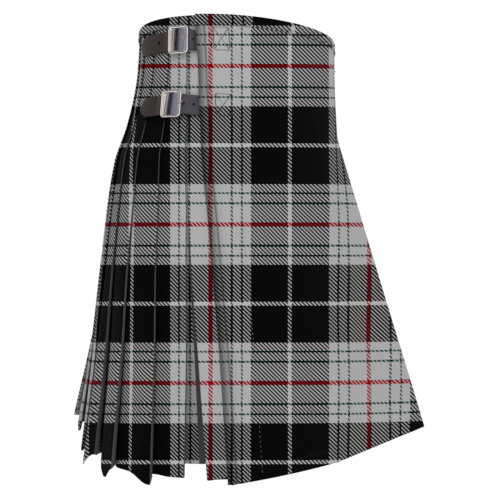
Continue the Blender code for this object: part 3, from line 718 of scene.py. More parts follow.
# %% Under apron
UNDER_TURN = 26.0  # width folded back at the right hip
UNDER_END = 302.0  # ring angle of its plain edge
UNDER_DIP, UNDER_DIP_WIDE = 3.5, 26.0  # how much lower its hem hangs at its fold, and over what width
UNDER_ROUNDED, UNDER_ROUNDED_WIDE = 0.48, 9.0  # how far the pressed fold curves in, and over what width
UNDER_STANDS = 2.4  # the most that its creases may stand out under the over apron
UNDER_CREASED = (60.0, 140.0)  # distances down between which its creases set in
UNDER_DIPS_FROM = 470.0  # distance down below which its hem dips
UNDER_FOLD_TURN = np.radians([-60.0, 0.0, 60.0])  # points round its fold
UNDER_NEAR, UNDER_FAR = 30.0, 34.0  # from its fold, where the close points end and the wider ones begin
UNDER_CREASES = (
    # across from its fold, down, lean, long, wide, deep
    (14.0, 470.0, 3.0, 260.0, 9.0, 1.2),
    (60.0, 380.0, -6.0, 300.0, 18.0, -1.4),
    (120.0, 500.0, 4.0, 200.0, 20.0, -1.6),
)


def under_apron():
    rows, across, downs = [], [], []
    for ring in RINGS:
        fold, end, pitch = ring.edge(UNDER_FOLD), ring.arc(UNDER_END), layer_pitch(ring.down)
        back = fold + np.linspace(UNDER_TURN, 1.0, 8)
        near_fold = fold + np.linspace(1.0, UNDER_NEAR, 14)
        front = np.concatenate([near_fold, np.linspace(fold + UNDER_FAR, end, 46)])
        relief = creased(front - fold, ring.down, UNDER_CREASES)
        relief = relief - UNDER_ROUNDED * (1 - smooth(front - fold, 0.0, UNDER_ROUNDED_WIDE))
        relief *= smooth(ring.down, *UNDER_CREASED)
        folded_back = ring.at(back, -pitch)
        corner = ring.at(fold + 1.0 - np.cos(UNDER_FOLD_TURN), -pitch / 2 * (1 - np.sin(UNDER_FOLD_TURN)))
        rows.append(np.vstack([folded_back, corner, ring.at(front, np.minimum(relief, UNDER_STANDS))]))
        widths = np.concatenate([2 * fold - back, np.full(len(UNDER_FOLD_TURN), fold), front])
        by_fold = 1 - smooth(widths - fold, 0.0, UNDER_DIP_WIDE)
        rows[-1][:, 2] -= UNDER_DIP * by_fold * smooth(ring.down, UNDER_DIPS_FROM, LENGTH)
        across.append(ring.across(widths))
        downs.append(check_down(ring, rows[-1]))
    made = sheet_mesh("under_apron_cloth", rows, across, downs, SHEET_WALL, kilt_wool)
    declare_cloth(made, "under_apron")


under_apron()

# %% [markdown]
# ## Knife pleats
# Each pleat is a fold of cloth laid on its neighbour and pressed, with its edge towards the aprons. It is
# sewn down from the waist to the seat, and below that it opens and swings. The section of a pleat is worked
# out on every ring: its face, then on under its neighbour, back again, and round the next fold. At the
# right hip an inverted pleat joins the under apron, and at the left hip the last pleat is sewn to the over
# apron. A pleat could be modelled once and copied round an array, but then every fold would swing alike,
# and these are worn.

# %% Pleats' sizes
PLEATS, BACK_JOIN = 21, 11  # knife pleats round the back, and the one at which its two lengths of cloth join
HIDDEN = 0.85  # depth of a pleat under its neighbour, as a share of the width that shows
REVERSE_DEEP = 12.0  # how much deeper the inverted pleat's inner part lies at the hem
INNER_RISE = -12.0  # dip of that part at the hem: it is raised
INNER_SHADED = 0.36  # share of its innermost width that is painted plain dark grey, as painted shade
WALL, SEAM = 1.1, 0.3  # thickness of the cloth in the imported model, and the gap left at a seam
FACE = np.array(
    # points across a pleat's face, as shares of the width that it shows, and on under the next pleat
    [0.0, 0.03, 0.08, 0.16, 0.27, 0.4, 0.55, 0.7, 0.83, 0.92, 0.97, 1.0, 1.04, 1.1, 1.25, 1.42, 1.62, 1.85]
)
PLEAT_PUFF, PUFF_POWER = 1.6, 1.3  # how far a pleat's face bellies out at the hem, and the curve's power
Hang = namedtuple("Hang", "stands opens dip dip_at wide rise fuller")
PLEAT_HANG = (
    # at the hem: how far its fold stands up and opens below that, how much it dips, where and how widely
    # across it, how much it rises, and how much more than PLEAT_PUFF its face bellies out
    Hang(2.0, 5.0, 1.0, 0.5, 0.28, 0.0, 0.0),
    Hang(4.2, 5.0, 10.0, 0.0, 0.28, 0.0, 0.0),
    Hang(3.2, 4.6, 20.0, 0.34, 0.28, 5.5, 5.4),
    Hang(4.6, 4.6, 22.0, 0.7, 0.38, 7.0, 6.4),
    Hang(1.8, 0.6, 9.0, 0.9, 0.28, 0.0, 0.0),
    Hang(-2.0, 0.4, 2.0, 0.8, 0.28, 0.0, 0.0),
    Hang(-1.0, 0.6, -5.0, 0.6, 0.28, 0.0, 0.0),
    Hang(2.4, 0.8, -3.0, 0.3, 0.28, 8.0, 0.0),
    Hang(1.0, 1.0, 3.0, 0.2, 0.28, 0.0, 0.0),
    Hang(3.0, 0.6, 5.0, 0.7, 0.28, 0.0, 0.0),
    Hang(0.5, 1.2, 0.0, 0.5, 0.28, 0.0, 0.0),
)
DIP_INSIDE = 0.2  # how much of the dip is left at the foot of a fold
FOOT_WIDE = 0.45  # share of a pleat's depth over which its foot is lifted
SEWN_ON = np.linspace(0.7, 1.0, 4)  # where the last pleat is sewn, as shares of the apron's width folded back
FOLD_SHIFT = (0.0, 9.0, 0.0, -6.5, -4.0)  # how far the first folds swing towards the aprons at the hem
FOLD_MID = (0.0, -2.0, -7.0, -8.0, -4.0)  # and how far half way up
SHADED_PLEATS = 4  # pleats that have opened far enough for their inner side to be painted plain dark grey, as painted shade
SHADE_SETS_IN = 50.0  # the distance over which that painted shade sets in, going down
ALONG_FOLDS = (2.4, 7.0)  # pleats between which the check goes over from plumb to running along each fold
ROUND = np.radians([10.0, 45.0, 80.0])  # points round the corner of a fold
# how the painted shade fades out round a fold's corner
SHADE_TO_FACE = np.array((1.0, 0.7, 0.0))
CORNER = 1.0  # largest radius of that corner
OPEN_BELOW = 110.0  # distance down below which the first folds shift and show their inner side
SHAPED_BELOW = LENGTH - 170.0  # distance down below which the hem's dips and rises begin


# %% Where the folds lie, and how low each hem hangs
def dipped(number, share, left=1.0):
    """How much lower a pleat's hem hangs at a share of the width that it shows."""
    hang = PLEAT_HANG[number % len(PLEAT_HANG)]
    dip = hang.dip * np.exp(-(((np.asarray(share, float) - hang.dip_at) / hang.wide) ** 2))
    return left * dip - hang.rise


def low_down(down):
    """How far the hem's dips and rises work at a distance down: 0 above SHAPED_BELOW, 1 at the hem."""
    return smooth(down, SHAPED_BELOW, LENGTH)


def pleat_folds(ring):
    """Where the folds lie on one ring, and how far apart they are."""
    start, end = ring.edge(FIRST_FOLD), ring.arc(LEFT_FOLD)
    share = float(np.clip((ring.down - OPEN_BELOW) / (LENGTH - OPEN_BELOW), 0.0, 1.0))
    middle = math.sin(math.pi * share)
    shift = np.zeros(PLEATS + 1)
    shift[: len(FOLD_SHIFT)] = np.array(FOLD_SHIFT) * opened(ring.down) + np.array(FOLD_MID) * middle
    reveal = (start - end) / PLEATS
    return start - np.arange(PLEATS + 1) * reveal + shift, reveal


CHECK_AT_FOLDS = [RINGS[-1].across(at) for at in pleat_folds(RINGS[-1])[0]]
shows_at_top, shows_at_hem = (round(pleat_folds(ring)[1]) for ring in (RINGS[0], RINGS[-1]))
print("a pleat shows", shows_at_top, "mm at the top and", shows_at_hem, "mm at the hem")


# %% One line through the pleats
def pleat_line(ring, first, last):
    """Points of pleats first to last on one ring, with the check's place of each, and its marks."""
    folds, reveal = pleat_folds(ring)
    pitch, open_now = layer_pitch(ring.down), opened(ring.down)
    slope, depth = 2 * pitch / reveal, HIDDEN * reveal
    seam = pitch + WALL + SEAM
    radius = min(pitch / 2, CORNER)
    columns, faces = [], []

    def add(arc, out, place, inside=0.0, dip=0.0):
        columns.append(np.array(np.broadcast_arrays(arc, out, place, inside, dip), float))

    def check_at(i):
        along = smooth(float(i), *ALONG_FOLDS)
        return ring.across(folds[i]) * (1 - along) + CHECK_AT_FOLDS[i] * along

    if first == 0:
        # the inverted pleat: back from the under apron, inwards, and out again to the first fold
        under = ring.edge(UNDER_FOLD)
        deep = REVERSE_DEEP * open_now
        t = np.linspace(UNDER_TURN, 0.0, 9)
        depths = [-2 * pitch - deep, -seam - 0.3 * deep, -seam]
        inward = np.interp(t, [0.0, 0.5 * UNDER_TURN, UNDER_TURN], depths)
        # painted shade: this part of the inverted pleat, and the innermost share of the next, are painted
        # plain dark grey
        add(under + t, inward, ring.across(under) - t, 1.0, INNER_RISE * (1 - t / UNDER_TURN))
        t = np.linspace(0.0, 1.0, 13)[1:]
        span = folds[0] - under
        add(under + span * t, -2 * pitch - deep, ring.across(under) + span * t, t < INNER_SHADED, INNER_RISE)
        t = np.linspace(0.0, depth, 9)[1:]
        inward = -2 * pitch - slope * t - deep * (1 - t / depth) ** 1.2
        add(folds[0] - t, inward, ring.across(folds[0]) - t, 0.0, INNER_RISE * (1 - t / depth))
    for i in range(first, last + 1):
        hang = PLEAT_HANG[i % len(PLEAT_HANG)]
        lift = hang.stands * open_now
        foot = max(lift - 2 * radius - hang.opens * open_now, 1.2 - 2 * pitch)
        at_fold = check_at(i)
        # painted shade on the inner side of the first open pleats
        pleat_shade = float(i < SHADED_PLEATS) * smooth(ring.down, OPEN_BELOW, OPEN_BELOW + SHADE_SETS_IN)
        # back under the neighbour
        t = np.linspace(depth - WALL if i == first > 0 else depth, 2 * radius, 9)
        near, inner_dip = 1 - smooth(t, 0.0, FOOT_WIDE * depth), dipped(i, 0.0, DIP_INSIDE)
        out = -pitch - slope * t + (foot + pitch) * near
        add(folds[i] - t, out, at_fold + lift - foot + t, pleat_shade, inner_dip * near)
        # round the fold
        corner = radius * (1 - np.cos(ROUND))
        add(folds[i] - corner[::-1], foot + corner, at_fold + lift - foot - corner, pleat_shade, inner_dip)
        rise = radius * (1 - np.sin(ROUND))
        add(folds[i] - corner, lift - rise, at_fold + rise - corner, SHADE_TO_FACE * pleat_shade, dipped(i, 0.0))
        if i == PLEATS - 1:
            break
        # across its face, and on under the next pleat
        show = FACE if i < last else FACE * (1 + HIDDEN - WALL / reveal) / (1 + HIDDEN)
        shows = folds[i] - folds[i + 1]
        within = np.minimum(show, 1.0)
        belly = PLEAT_PUFF * np.sin(within * math.pi) ** PUFF_POWER
        belly = belly + hang.fuller * np.sin(within**1.5 * math.pi) ** PUFF_POWER
        place = folds[i] - radius - within * (shows - radius) - (show - within) * reveal
        even = smooth(float(i), *ALONG_FOLDS)
        shown = at_fold - (folds[i] - place) * ((at_fold - check_at(i + 1)) / shows * (1 - even) + even)
        out = -slope * show * reveal + belly * open_now + lift * (1 - smooth(show, 0.5, 1.0))
        add(place, out, shown, 0.0, dipped(i, show) * (1 - smooth(show, 1.1, 1.5)))
        faces.append((place, out, dipped(i, show), show))
    if last == PLEATS - 1:
        show = np.linspace(0.02, 0.9, 10)
        add(folds[last] - show * reveal, lift * (1 - smooth(show, 0.0, 0.5)), check_at(last) - show * reveal)
    arcs, outs, across, inside, dip = np.concatenate(columns, axis=1)
    points = ring.at(arcs, outs)
    dip = dip * low_down(ring.down)
    points[:, 2] -= dip
    if last == PLEATS - 1:
        line = ApronLine(ring)
        points = np.vstack([points, line.at(line.width - SEWN_ON * APRON_TURN, -seam)])
        steps = np.linalg.norm(np.diff(points[-len(SEWN_ON) - 1 :, :2], axis=0), axis=1)
        across = np.append(across, across[-1] - np.cumsum(steps))
        inside, dip = (np.append(mark, np.zeros(len(SEWN_ON))) for mark in (inside, dip))
    return points, across, inside, dip, faces


# %% Two lengths of pleated cloth
def pleated(name, first, last, node, rests_on):
    lines = [pleat_line(ring, first, last) for ring in RINGS]
    rows, across, pleat_shades, dips, _ = zip(*lines)
    downs = [check_down(ring, points, dip) for ring, points, dip in zip(RINGS, rows, dips)]
    made = sheet_mesh(name, rows, across, downs, SHEET_WALL, kilt_wool, inside=pleat_shades)
    declare_cloth(made, node)


RIGHT_LENGTH, LEFT_LENGTH = (0, BACK_JOIN - 1), (BACK_JOIN, PLEATS - 1)  # first and last pleat of each
pleated("pleats_right_cloth", *RIGHT_LENGTH, "pleats_right", ["waistband_cloth", "under_apron_cloth"])
pleated("pleats_left_cloth", *LEFT_LENGTH, "pleats_left", ["waistband_cloth", "over_apron_cloth"])

# %% [markdown]
# ## Waistband
# A narrow strip of the same tartan is folded over the top edge and stitched down, once round over all the
# layers. A curve with a bevel could make it, but its two sides lie on different layers, so it is a sheet
# whose outside and inside are placed apart, and one row of points after another carries it over the edge.

# %% Waistband
BAND_HEIGHT, BAND_WALL = 13.0, 1.0
BAND_STATIONS = 420  # points round it
BAND_EDGE_SHADE = 0.3  # how dark the painted shade is along its stitched lower edge
BAND_OVER = (0.1, 0.5, 0.9, 1.0)  # its rows over the top edge, as shares of the way from outside to inside
BAND_DOWNS = (BAND_HEIGHT, BAND_HEIGHT - 1.2, 10.0, 6.5, 3.0, 0.8)  # rows down its outside, lowest first


def band_path(angle):
    """How far out the band's outside and inside lie over the layers that it covers."""
    clear = WALL / 2 + SEAM + BAND_WALL / 2
    free, fold, left = EDGES[0][FREE_EDGE], EDGES[0][UNDER_FOLD] + 360.0, LEFT_FOLD + 360.0
    stack, turned = -2 * LAYER * (1 + HIDDEN) - WALL, APRON_OUT - 2 * LAYER - WALL
    rows = np.array(
        (
            # ring angle, outside, inside
            (free, APRON_OUT + clear, APRON_OUT - WALL),
            (left - 26.0, APRON_OUT + clear, APRON_OUT - WALL),
            (left - 20.0, APRON_OUT + clear, turned),
            (left + 4.0, APRON_OUT + clear, turned),
            (left + 14.0, clear, stack),
            (fold - 3.0, clear, stack),
            (fold + 8.0, clear, -2 * LAYER - WALL),
            (fold + 14.0, clear, -WALL),
            (UNDER_END + 360.0, clear, -WALL),
        )
    )
    return np.interp(angle, rows[:, 0], rows[:, 1]), np.interp(angle, rows[:, 0], rows[:, 2])


def wrapped(angles):
    """Ring angles past a full turn, brought back on to the ring."""
    return np.where(angles > RING_END, angles - 360.0, angles)


def waistband():
    angles = np.linspace(EDGES[0][FREE_EDGE], UNDER_END + 360.0, BAND_STATIONS)
    outside, inside = band_path(angles)
    angles = wrapped(angles)
    rows, across, downs = [], [], []
    for down in BAND_DOWNS:
        ring = Ring(down)
        plan = plan_of(ring.axes, angles, outside)
        rows.append(np.column_stack([plan, np.interp(angles, RING_ANGLES, ring.heights)]))
        across.append(np.interp(angles, RING_ANGLES, ring.check))
        downs.append(check_down(ring, rows[-1]))
    ring, top, lowest = RINGS[0], SEAM + BAND_WALL / 2, downs[-1]
    for share in BAND_OVER:
        out = outside * (1 - share) + inside * share
        rise = top * math.sin(math.pi * (0.5 if share < 1 else 0.35)) + 0.3 * math.sin(share * math.pi)
        rows.append(np.column_stack([plan_of(ring.axes, angles, out), np.full(len(angles), rise)]))
        across.append(np.interp(angles, RING_ANGLES, ring.check))
        downs.append(lowest - 1.0 - share * 4.0)
    # painted shade along the band's stitched lower edge
    pressed = np.zeros((len(rows), len(angles)))
    pressed[0] = BAND_EDGE_SHADE
    made = sheet_mesh("waistband_cloth", rows, across, downs, BAND_WALL, kilt_wool, pressed=pressed)
    declare_cloth(made, "waistband")


waistband()

# %% [markdown]
# ## Straps and chapes
# Each strap is a length of dyed, smooth-finished cowhide with punched holes and a rounded end. It comes out
# from under an apron's edge, rises over the folded chape, passes under the buckle's plate, and lies down
# again on the pleats. The chape is a shorter tab, folded round the buckle's heel bar and sewn to the
# pleats. Both are sheets along a route, as the cloth is, with the hide's thickness. The holes are punched
# with a boolean, as a maker punches them, and a bevel rounds the cut edges.

# %% Where a fastening lies
STRAP_WIDTH, STRAP_WALL, CHAPE_WALL = 26.6, 1.8, 1.4
FRAME_ALONG, FRAME_TALL, FRAME_WALL = 28.0, 36.4, 2.6
HEEL_RADIUS = 1.2  # of the bar that the buckle turns on
PRONG_HOLE, PRONG_HOLE_RADIUS = 8.2, 2.4  # distance of the prong's hole from the heel bar, and its size
Fastening = namedtuple("Fastening", "name down edge way to_buckle past droop holes")
FASTENINGS = (
    # name, down, edge that it comes from under, way round, edge to buckle, past the heel bar, droop, holes
    Fastening("right_upper", 33.0, "free", -1, 8.2, 68.5, -0.5, (3.4, 52.0)),
    Fastening("right_lower", 120.5, "free", -1, 20.8, 52.0, -1.3, (7.2, 19.1)),
    Fastening("left", 30.0, "left", 1, 26.0, 46.0, 2.0, (9.8, 63.0)),
)
# heights out from the form: what lies on the cloth, and each layer of a buckled strap above that
ON_CLOTH = WALL / 2 + 2 * SEAM
CHAPE_UNDER = ON_CLOTH + CHAPE_WALL / 2
HEEL = ON_CLOTH + CHAPE_WALL + SEAM + HEEL_RADIUS
CHAPE_OVER = HEEL + HEEL_RADIUS + SEAM + CHAPE_WALL / 2
STRAP_OVER = CHAPE_OVER + CHAPE_WALL / 2 + SEAM + STRAP_WALL / 2
STRAP_TIP = ON_CLOTH + CHAPE_WALL + SEAM + STRAP_WALL / 2
FRAME_OVER = STRAP_OVER + STRAP_WALL / 2 + SEAM + FRAME_WALL / 2
STRAP_ROOT = {"free": APRON_OUT / 2, "left": 1.8}  # how far out it lies under the apron's edge
STRAP_BEGINS = {"free": -22.0, "left": -7.0}  # where along it the visible strap begins, from that edge


# %% Along, up and out of the cloth
class Lie:
    """Where a fastening lies: along from the edge that it comes from under, up the cloth, and out of it."""

    def __init__(self, fastening):
        self.rings = [Ring(fastening.down - up) for up in (-5.0, 0.0, 5.0)]
        self.way = fastening.way
        middle = self.rings[1]
        self.edge = middle.edge(FREE_EDGE) if fastening.edge == "free" else middle.arc(LEFT_FOLD)
        self.heel = fastening.to_buckle + FRAME_ALONG / 2

    def on(self, along, level=1):
        angles = self.rings[1].angle(self.edge + self.way * np.atleast_1d(np.asarray(along, float)))
        ring = self.rings[level]
        return ring.at(np.interp(angles, RING_ANGLES, ring.arcs))

    def axes(self, along):
        """X round the wearer towards the left hand, Y up, Z out of the cloth."""
        along = np.atleast_1d(np.asarray(along, float))
        x = self.on(along + self.way) - self.on(along - self.way)
        z = np.cross(x, self.on(along, 2) - self.on(along, 0))
        x /= np.linalg.norm(x, axis=-1, keepdims=True)
        z /= np.linalg.norm(z, axis=-1, keepdims=True)
        return x, np.cross(z, x), z

    def at(self, along, up, out):
        along, up, out = np.broadcast_arrays(np.asarray(along, float), up, out)
        _, y, z = self.axes(along)
        return self.on(along) + y * up[:, None] + z * out[:, None]

    def matrix(self, along, out=0.0):
        x, y, z = (Vector(axis[0]) for axis in self.axes(along))
        at = Vector(self.at([along], 0.0, out)[0]) + Vector((0.0, 0.0, ORIGIN_DOWN))
        return Matrix.Translation(at * MM) @ Matrix((x, y, z)).transposed().to_4x4()


# %% Leather
def leather():
    """Smooth-finished cowhide: fine grain, uneven dye, dark painted edges, painted shade round its holes, and
    a greyer, bluer root that is painted sheen.
    """
    made, tree, shader = new_material("cowhide_dyed_dark_brown", Specular_IOR_Level=0.22)
    place = add_node(tree, "TexCoord", out="Object")
    # The pebbles of the grain are about 0.7 mm across, the fibres 0.3 mm, and the dye is uneven over 10 mm.
    grain = add_node(tree, "TexVoronoi", Vector=place, Scale=1500.0, Randomness=1.0, feature="F1")
    fibre = add_node(tree, "TexNoise", Vector=place, Scale=3200.0, Detail=2.0)
    dye = add_node(tree, "TexNoise", Vector=place, Scale=95.0, Detail=4.0, Roughness=0.6)
    # Painted sheen: the "inside" mark gives a strap's root a greyer, bluer colour. The edge mark is the dyed
    # edge, and painted shade round each hole.
    root = add_node(tree, "Attribute", attribute_name="inside", out="Fac")
    rim = add_node(tree, "Attribute", attribute_name="pressed", out="Fac")
    brown = add_node(tree, "Mix", dye, _6=linear("1e1816"), _7=linear("302724"), **OF_COLOURS)
    painted_sheen = add_node(tree, "Mix", dye, _6=linear("353139"), _7=linear("444049"), **OF_COLOURS)
    hide = add_node(tree, "Mix", root, _6=brown, _7=painted_sheen, **OF_COLOURS)
    edged = add_node(tree, "Mix", rim, _6=hide, _7=linear("120f0e"), **OF_COLOURS)
    rough = add_node(tree, "MapRange", dye, _3=0.42, _4=0.62)
    fibrous = add_node(tree, "Math", fibre, 0.35, operation="MULTIPLY")
    relief = add_node(tree, "Math", grain, 0.8, fibrous, operation="MULTIPLY_ADD")
    bump = add_node(tree, "Bump", Strength=0.28, Distance=0.00025, Height=relief)
    set_sockets(tree, shader, {"Base Color": edged, "Roughness": rough, "Normal": bump})
    return made


cowhide = leather()
print(cowhide.name, "nodes", len(cowhide.node_tree.nodes))


# %% Punching and rounding
HOLE_SHADE_REACH = 0.1  # how far round a hole the painted shade reaches
PUNCH_LONG = 7.0  # long enough to go through the hide on both sides
LEATHER_ROUND = 0.3  # how far a cut edge is rounded
SHARP = math.radians(50.0)  # edges sharper than this are rounded


def rounded(piece, width, segments, sharper_than):
    """Rounds a piece's sharp edges a little, with a bevel that is applied."""
    only(piece)
    edge = piece.modifiers.new("edge", "BEVEL")
    edge.width = width * MM
    edge.segments = segments
    edge.limit_method = "ANGLE"
    edge.angle_limit = sharper_than
    bpy.ops.object.modifier_apply(modifier="edge")


def finished_leather(piece, holes):
    """Punches the holes, paints shade round them in the edge colour, then rounds every edge a little."""
    for matrix, radius in holes:
        bpy.ops.object.select_all(action="DESELECT")
        bpy.ops.mesh.primitive_cylinder_add(vertices=20, radius=radius * MM, depth=PUNCH_LONG * MM)
        punch = bpy.context.object
        punch.matrix_world = matrix
        only(piece)
        hole = piece.modifiers.new("hole", "BOOLEAN")
        hole.operation = "DIFFERENCE"
        hole.object = punch
        bpy.ops.object.modifier_apply(modifier="hole")
        bpy.data.objects.remove(punch, do_unlink=True)
        # painted shade: the edge colour is put round each hole
        to_hole, hole_shade = matrix.inverted(), piece.data.attributes["pressed"].data
        for corner in piece.data.vertices:
            if (to_hole @ corner.co).xy.length < (radius + HOLE_SHADE_REACH) * MM:
                hole_shade[corner.index].value = 1.0
    rounded(piece, LEATHER_ROUND, 2, SHARP)
    bpy.ops.object.shade_smooth_by_angle(angle=math.radians(40.0))
    print(piece.name, "holes", len(holes), "faces", len(piece.data.polygons))


# %% Straps
HOLE_RADIUS = 1.6
STRAP_COLUMNS = 15  # points across a strap
TIP_ROUND = 0.62 * STRAP_WIDTH  # length of its rounded end
TIP_POWER, TIP_SHAPE = 2.2, 0.55  # powers of the curve of that end: blunter than a half circle
STRAP_CROWN = 0.25  # how far its edges lie below its middle
EDGE_DYED = 0.6  # how dark its edges are dyed
STRAP_LEVEL, STRAP_LANDS = 12.0, 24.0  # past the heel bar, how far it stays level, and where it lies down


def strap(fastening, lie):
    to_buckle, heel, tip = fastening.to_buckle, lie.heel, lie.heel + fastening.past
    root_out = STRAP_ROOT[fastening.edge]
    route = (
        # along, out
        (-22.0, root_out),
        (2.0, root_out),
        (0.5 * to_buckle + 0.5, 0.5 * (root_out + STRAP_OVER)),
        (to_buckle - 1.0, STRAP_OVER),
        (heel + STRAP_LEVEL, STRAP_OVER),
        (heel + STRAP_LANDS, STRAP_TIP),
        (tip, STRAP_TIP),
    )
    straight = np.linspace(STRAP_BEGINS[fastening.edge], tip - TIP_ROUND, 64, endpoint=False)
    round_end = tip - TIP_ROUND * (1 - np.sin(np.linspace(0.0, 0.5 * math.pi, 18)))
    alongs = np.concatenate([straight, round_end])
    u = np.sin(np.linspace(-0.5 * math.pi, 0.5 * math.pi, STRAP_COLUMNS))
    beyond = np.clip((alongs - tip + TIP_ROUND) / TIP_ROUND, 0.0, 0.9995)
    halves = 0.5 * STRAP_WIDTH * (1 - beyond**TIP_POWER) ** TIP_SHAPE
    falls = fastening.droop * smooth(alongs, heel, tip)
    outs = eased(alongs, route, 1)
    rows = [
        lie.at(np.full(STRAP_COLUMNS, along), half * u - fall, out - STRAP_CROWN * u**2)
        for along, half, fall, out in zip(alongs, halves, falls, outs)
    ]
    rim = np.maximum(smooth(np.abs(u), 0.9, 1.0)[None, :], smooth(beyond, 0.96, 1.0)[:, None])
    # painted sheen: the root, up to the buckle, is marked for a greyer, bluer colour
    root = np.repeat(1 - smooth(alongs, to_buckle + 1.0, heel + 2.0), STRAP_COLUMNS)
    marks = {"inside": root, "pressed": EDGE_DYED * rim}
    across, up = np.repeat(alongs, STRAP_COLUMNS), halves[:, None] * u
    made = sheet_mesh("strap_leather_" + fastening.name, rows, across, up, STRAP_WALL, cowhide, **marks)
    prong_at = lie.matrix(heel) @ Matrix.Translation(Vector((-lie.way * PRONG_HOLE, 0.0, STRAP_OVER)) * MM)
    punched = [(prong_at, PRONG_HOLE_RADIUS)]
    for along in fastening.holes:
        out, fall = float(eased(along, route, 1)), float(fastening.droop * smooth(along, heel, tip))
        punched.append((lie.matrix(along, out) @ Matrix.Translation((0.0, -fall * MM, 0.0)), HOLE_RADIUS))
    finished_leather(made, punched)
    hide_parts("strap_" + fastening.name)
    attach(made, "root")


# %% Chapes
CHAPE_TAIL = 8.0  # how much shorter the layer on the cloth is than the strap above it
CHAPE_LAPS = 9.0  # length of the layer folded back over the heel bar
CHAPE_NARROWER = 1.0  # than the strap, on each side
CHAPE_ROWS = 9  # points across it
SLOT_AT, SLOT_OUT, SLOT_RADIUS = 2.6, 1.7, 2.2  # the slot in its fold, through which the prong comes


def chape(fastening, lie):
    loop = HEEL - CHAPE_UNDER
    under = np.linspace(fastening.past - CHAPE_TAIL, 0.0, 22, endpoint=False)
    turns = np.linspace(-0.5 * math.pi, 0.5 * math.pi, 13)
    over = np.linspace(0.0, CHAPE_LAPS, 6)[1:]
    along = lie.heel + np.concatenate([under, -loop * np.cos(turns), over])
    low, high = np.full(len(under), CHAPE_UNDER), np.full(len(over), CHAPE_OVER)
    out = np.concatenate([low, HEEL + loop * np.sin(turns), high])
    half = STRAP_WIDTH / 2 - CHAPE_NARROWER
    ups = np.linspace(-half, half, CHAPE_ROWS)
    rows = [lie.at(along, up, out) for up in ups]
    across = np.tile(along, (CHAPE_ROWS, 1))
    downs = np.repeat(ups[:, None], len(along), axis=1)
    made = sheet_mesh("chape_leather_" + fastening.name, rows, across, downs, CHAPE_WALL, cowhide)
    slot_place = Vector((-lie.way * SLOT_AT, 0.0, HEEL + SLOT_OUT)) * MM
    finished_leather(made, [(lie.matrix(lie.heel) @ Matrix.Translation(slot_place), SLOT_RADIUS)])
    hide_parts("chape_" + fastening.name)
    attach(made, "root")


# %% [markdown]
# ## Buckles
# The buckles are cast, polished and nickel plated: a rounded frame with a wider bar on the side that the
# prong rests on, a heel bar behind, and a domed plate that covers the strap. A curve with a bevel would
# give bars of one width, so each piece is begun as a block or a round bar, then rounded and cut in edit
# mode.

# %% Polished metal
def polished(name, bright, dull, smoothest, roughest):
    """Nickel plate on a zinc casting: a bright mirror, rubbed duller in patches by wear and polishing."""
    made, tree, shader = new_material(name, Metallic=1.0)
    place = add_node(tree, "TexCoord", out="Object")
    # The rubbed patches are about 6 mm across, and the traces of polishing 0.4 mm.
    worn = add_node(tree, "TexNoise", Vector=place, Scale=160.0, Detail=4.0, Roughness=0.6)
    polish = add_node(tree, "TexNoise", Vector=place, Scale=2600.0, Detail=2.0)
    colour = add_node(tree, "Mix", worn, _6=linear(bright), _7=linear(dull), **OF_COLOURS)
    rough = add_node(tree, "MapRange", worn, _1=0.35, _2=0.7, _3=smoothest, _4=roughest)
    bump = add_node(tree, "Bump", Strength=0.04, Distance=0.0001, Height=polish)
    set_sockets(tree, shader, {"Base Color": colour, "Roughness": rough, "Normal": bump})
    return made


nickel = polished("polished_nickel_plate", "f2e9e4", "dcd6d6", 0.07, 0.15)
cast_nickel = polished("cast_nickel_rubbed", "fdfaf6", "f3eeea", 0.12, 0.2)
# The prong is the same nickel, made darker.
darker_nickel = polished("prong_nickel_darker", "a49c98", "8a8280", 0.16, 0.3)
print("metals:", nickel.name, cast_nickel.name, darker_nickel.name)


# %% Shaping by hand, in edit mode
def select_where(mesh_object, kind, test):
    """In edit mode, selects only the vertices, edges or faces that pass a test."""
    bpy.ops.mesh.select_all(action="DESELECT")
    shape = bmesh.from_edit_mesh(mesh_object.data)
    shape.normal_update()
    for item in getattr(shape, kind):
        if test(item):
            item.select_set(True)
    if kind == "verts":
        shape.select_flush(True)
    else:
        shape.select_flush_mode()
    bmesh.update_edit_mesh(mesh_object.data)


def block_of(sizes):
    """A plain block of these sizes in millimetres, left in edit mode with all of it selected."""
    bpy.ops.object.select_all(action="DESELECT")
    bpy.ops.mesh.primitive_cube_add(size=1.0, scale=[size * MM for size in sizes])
    block = bpy.context.object
    bpy.ops.object.transform_apply(location=False, rotation=False, scale=True)
    bpy.ops.object.mode_set(mode="EDIT")
    bpy.ops.mesh.select_all(action="SELECT")
    return block


def turned_outwards():
    """Ends an edit with every face pointing outwards, and leaves edit mode."""
    bpy.ops.mesh.select_all(action="SELECT")
    bpy.ops.mesh.normals_make_consistent(inside=False)
    bpy.ops.object.mode_set(mode="OBJECT")


def settled(piece, matrix):
    """Puts a finished piece in its place, with its object left at the origin."""
    piece.matrix_world = matrix
    only(piece)
    bpy.ops.object.transform_apply(location=True, rotation=True, scale=True)
    return piece


# %% Frames
BAR_TIP, BAR_EDGE, BAR_END = 2.8, 4.4, 2.5  # widths of bars: by the tip, by the prong's rest, the other two
BAR_LEANS = math.radians(15.0)  # how far the frame is bowed: its side bars lean outwards
FRAME_ROUND, BAR_ROUND = 5.2, 0.95  # radius of the frame's corners, and of its bars' edges
LEGS = (3.0, 1.6)  # along and up, of the two legs that carry the heel bar
LEG_OVERLAP, LEG_BELOW = 0.5, 0.2  # how far they run on into the frame, and behind the heel bar
LEG_ROUND = 0.5  # radius of their edges
LEGS_AT = (FRAME_TALL - 2 * LEGS[1]) / 2


def is_upright(edge):
    return abs((edge.verts[0].co - edge.verts[1].co).z) > 1e-4


def is_flat(face):
    return abs(face.normal.z) > 0.9


def is_sharp(edge):
    return len(edge.link_faces) == 2 and edge.calc_face_angle(0.0) > math.radians(60.0)


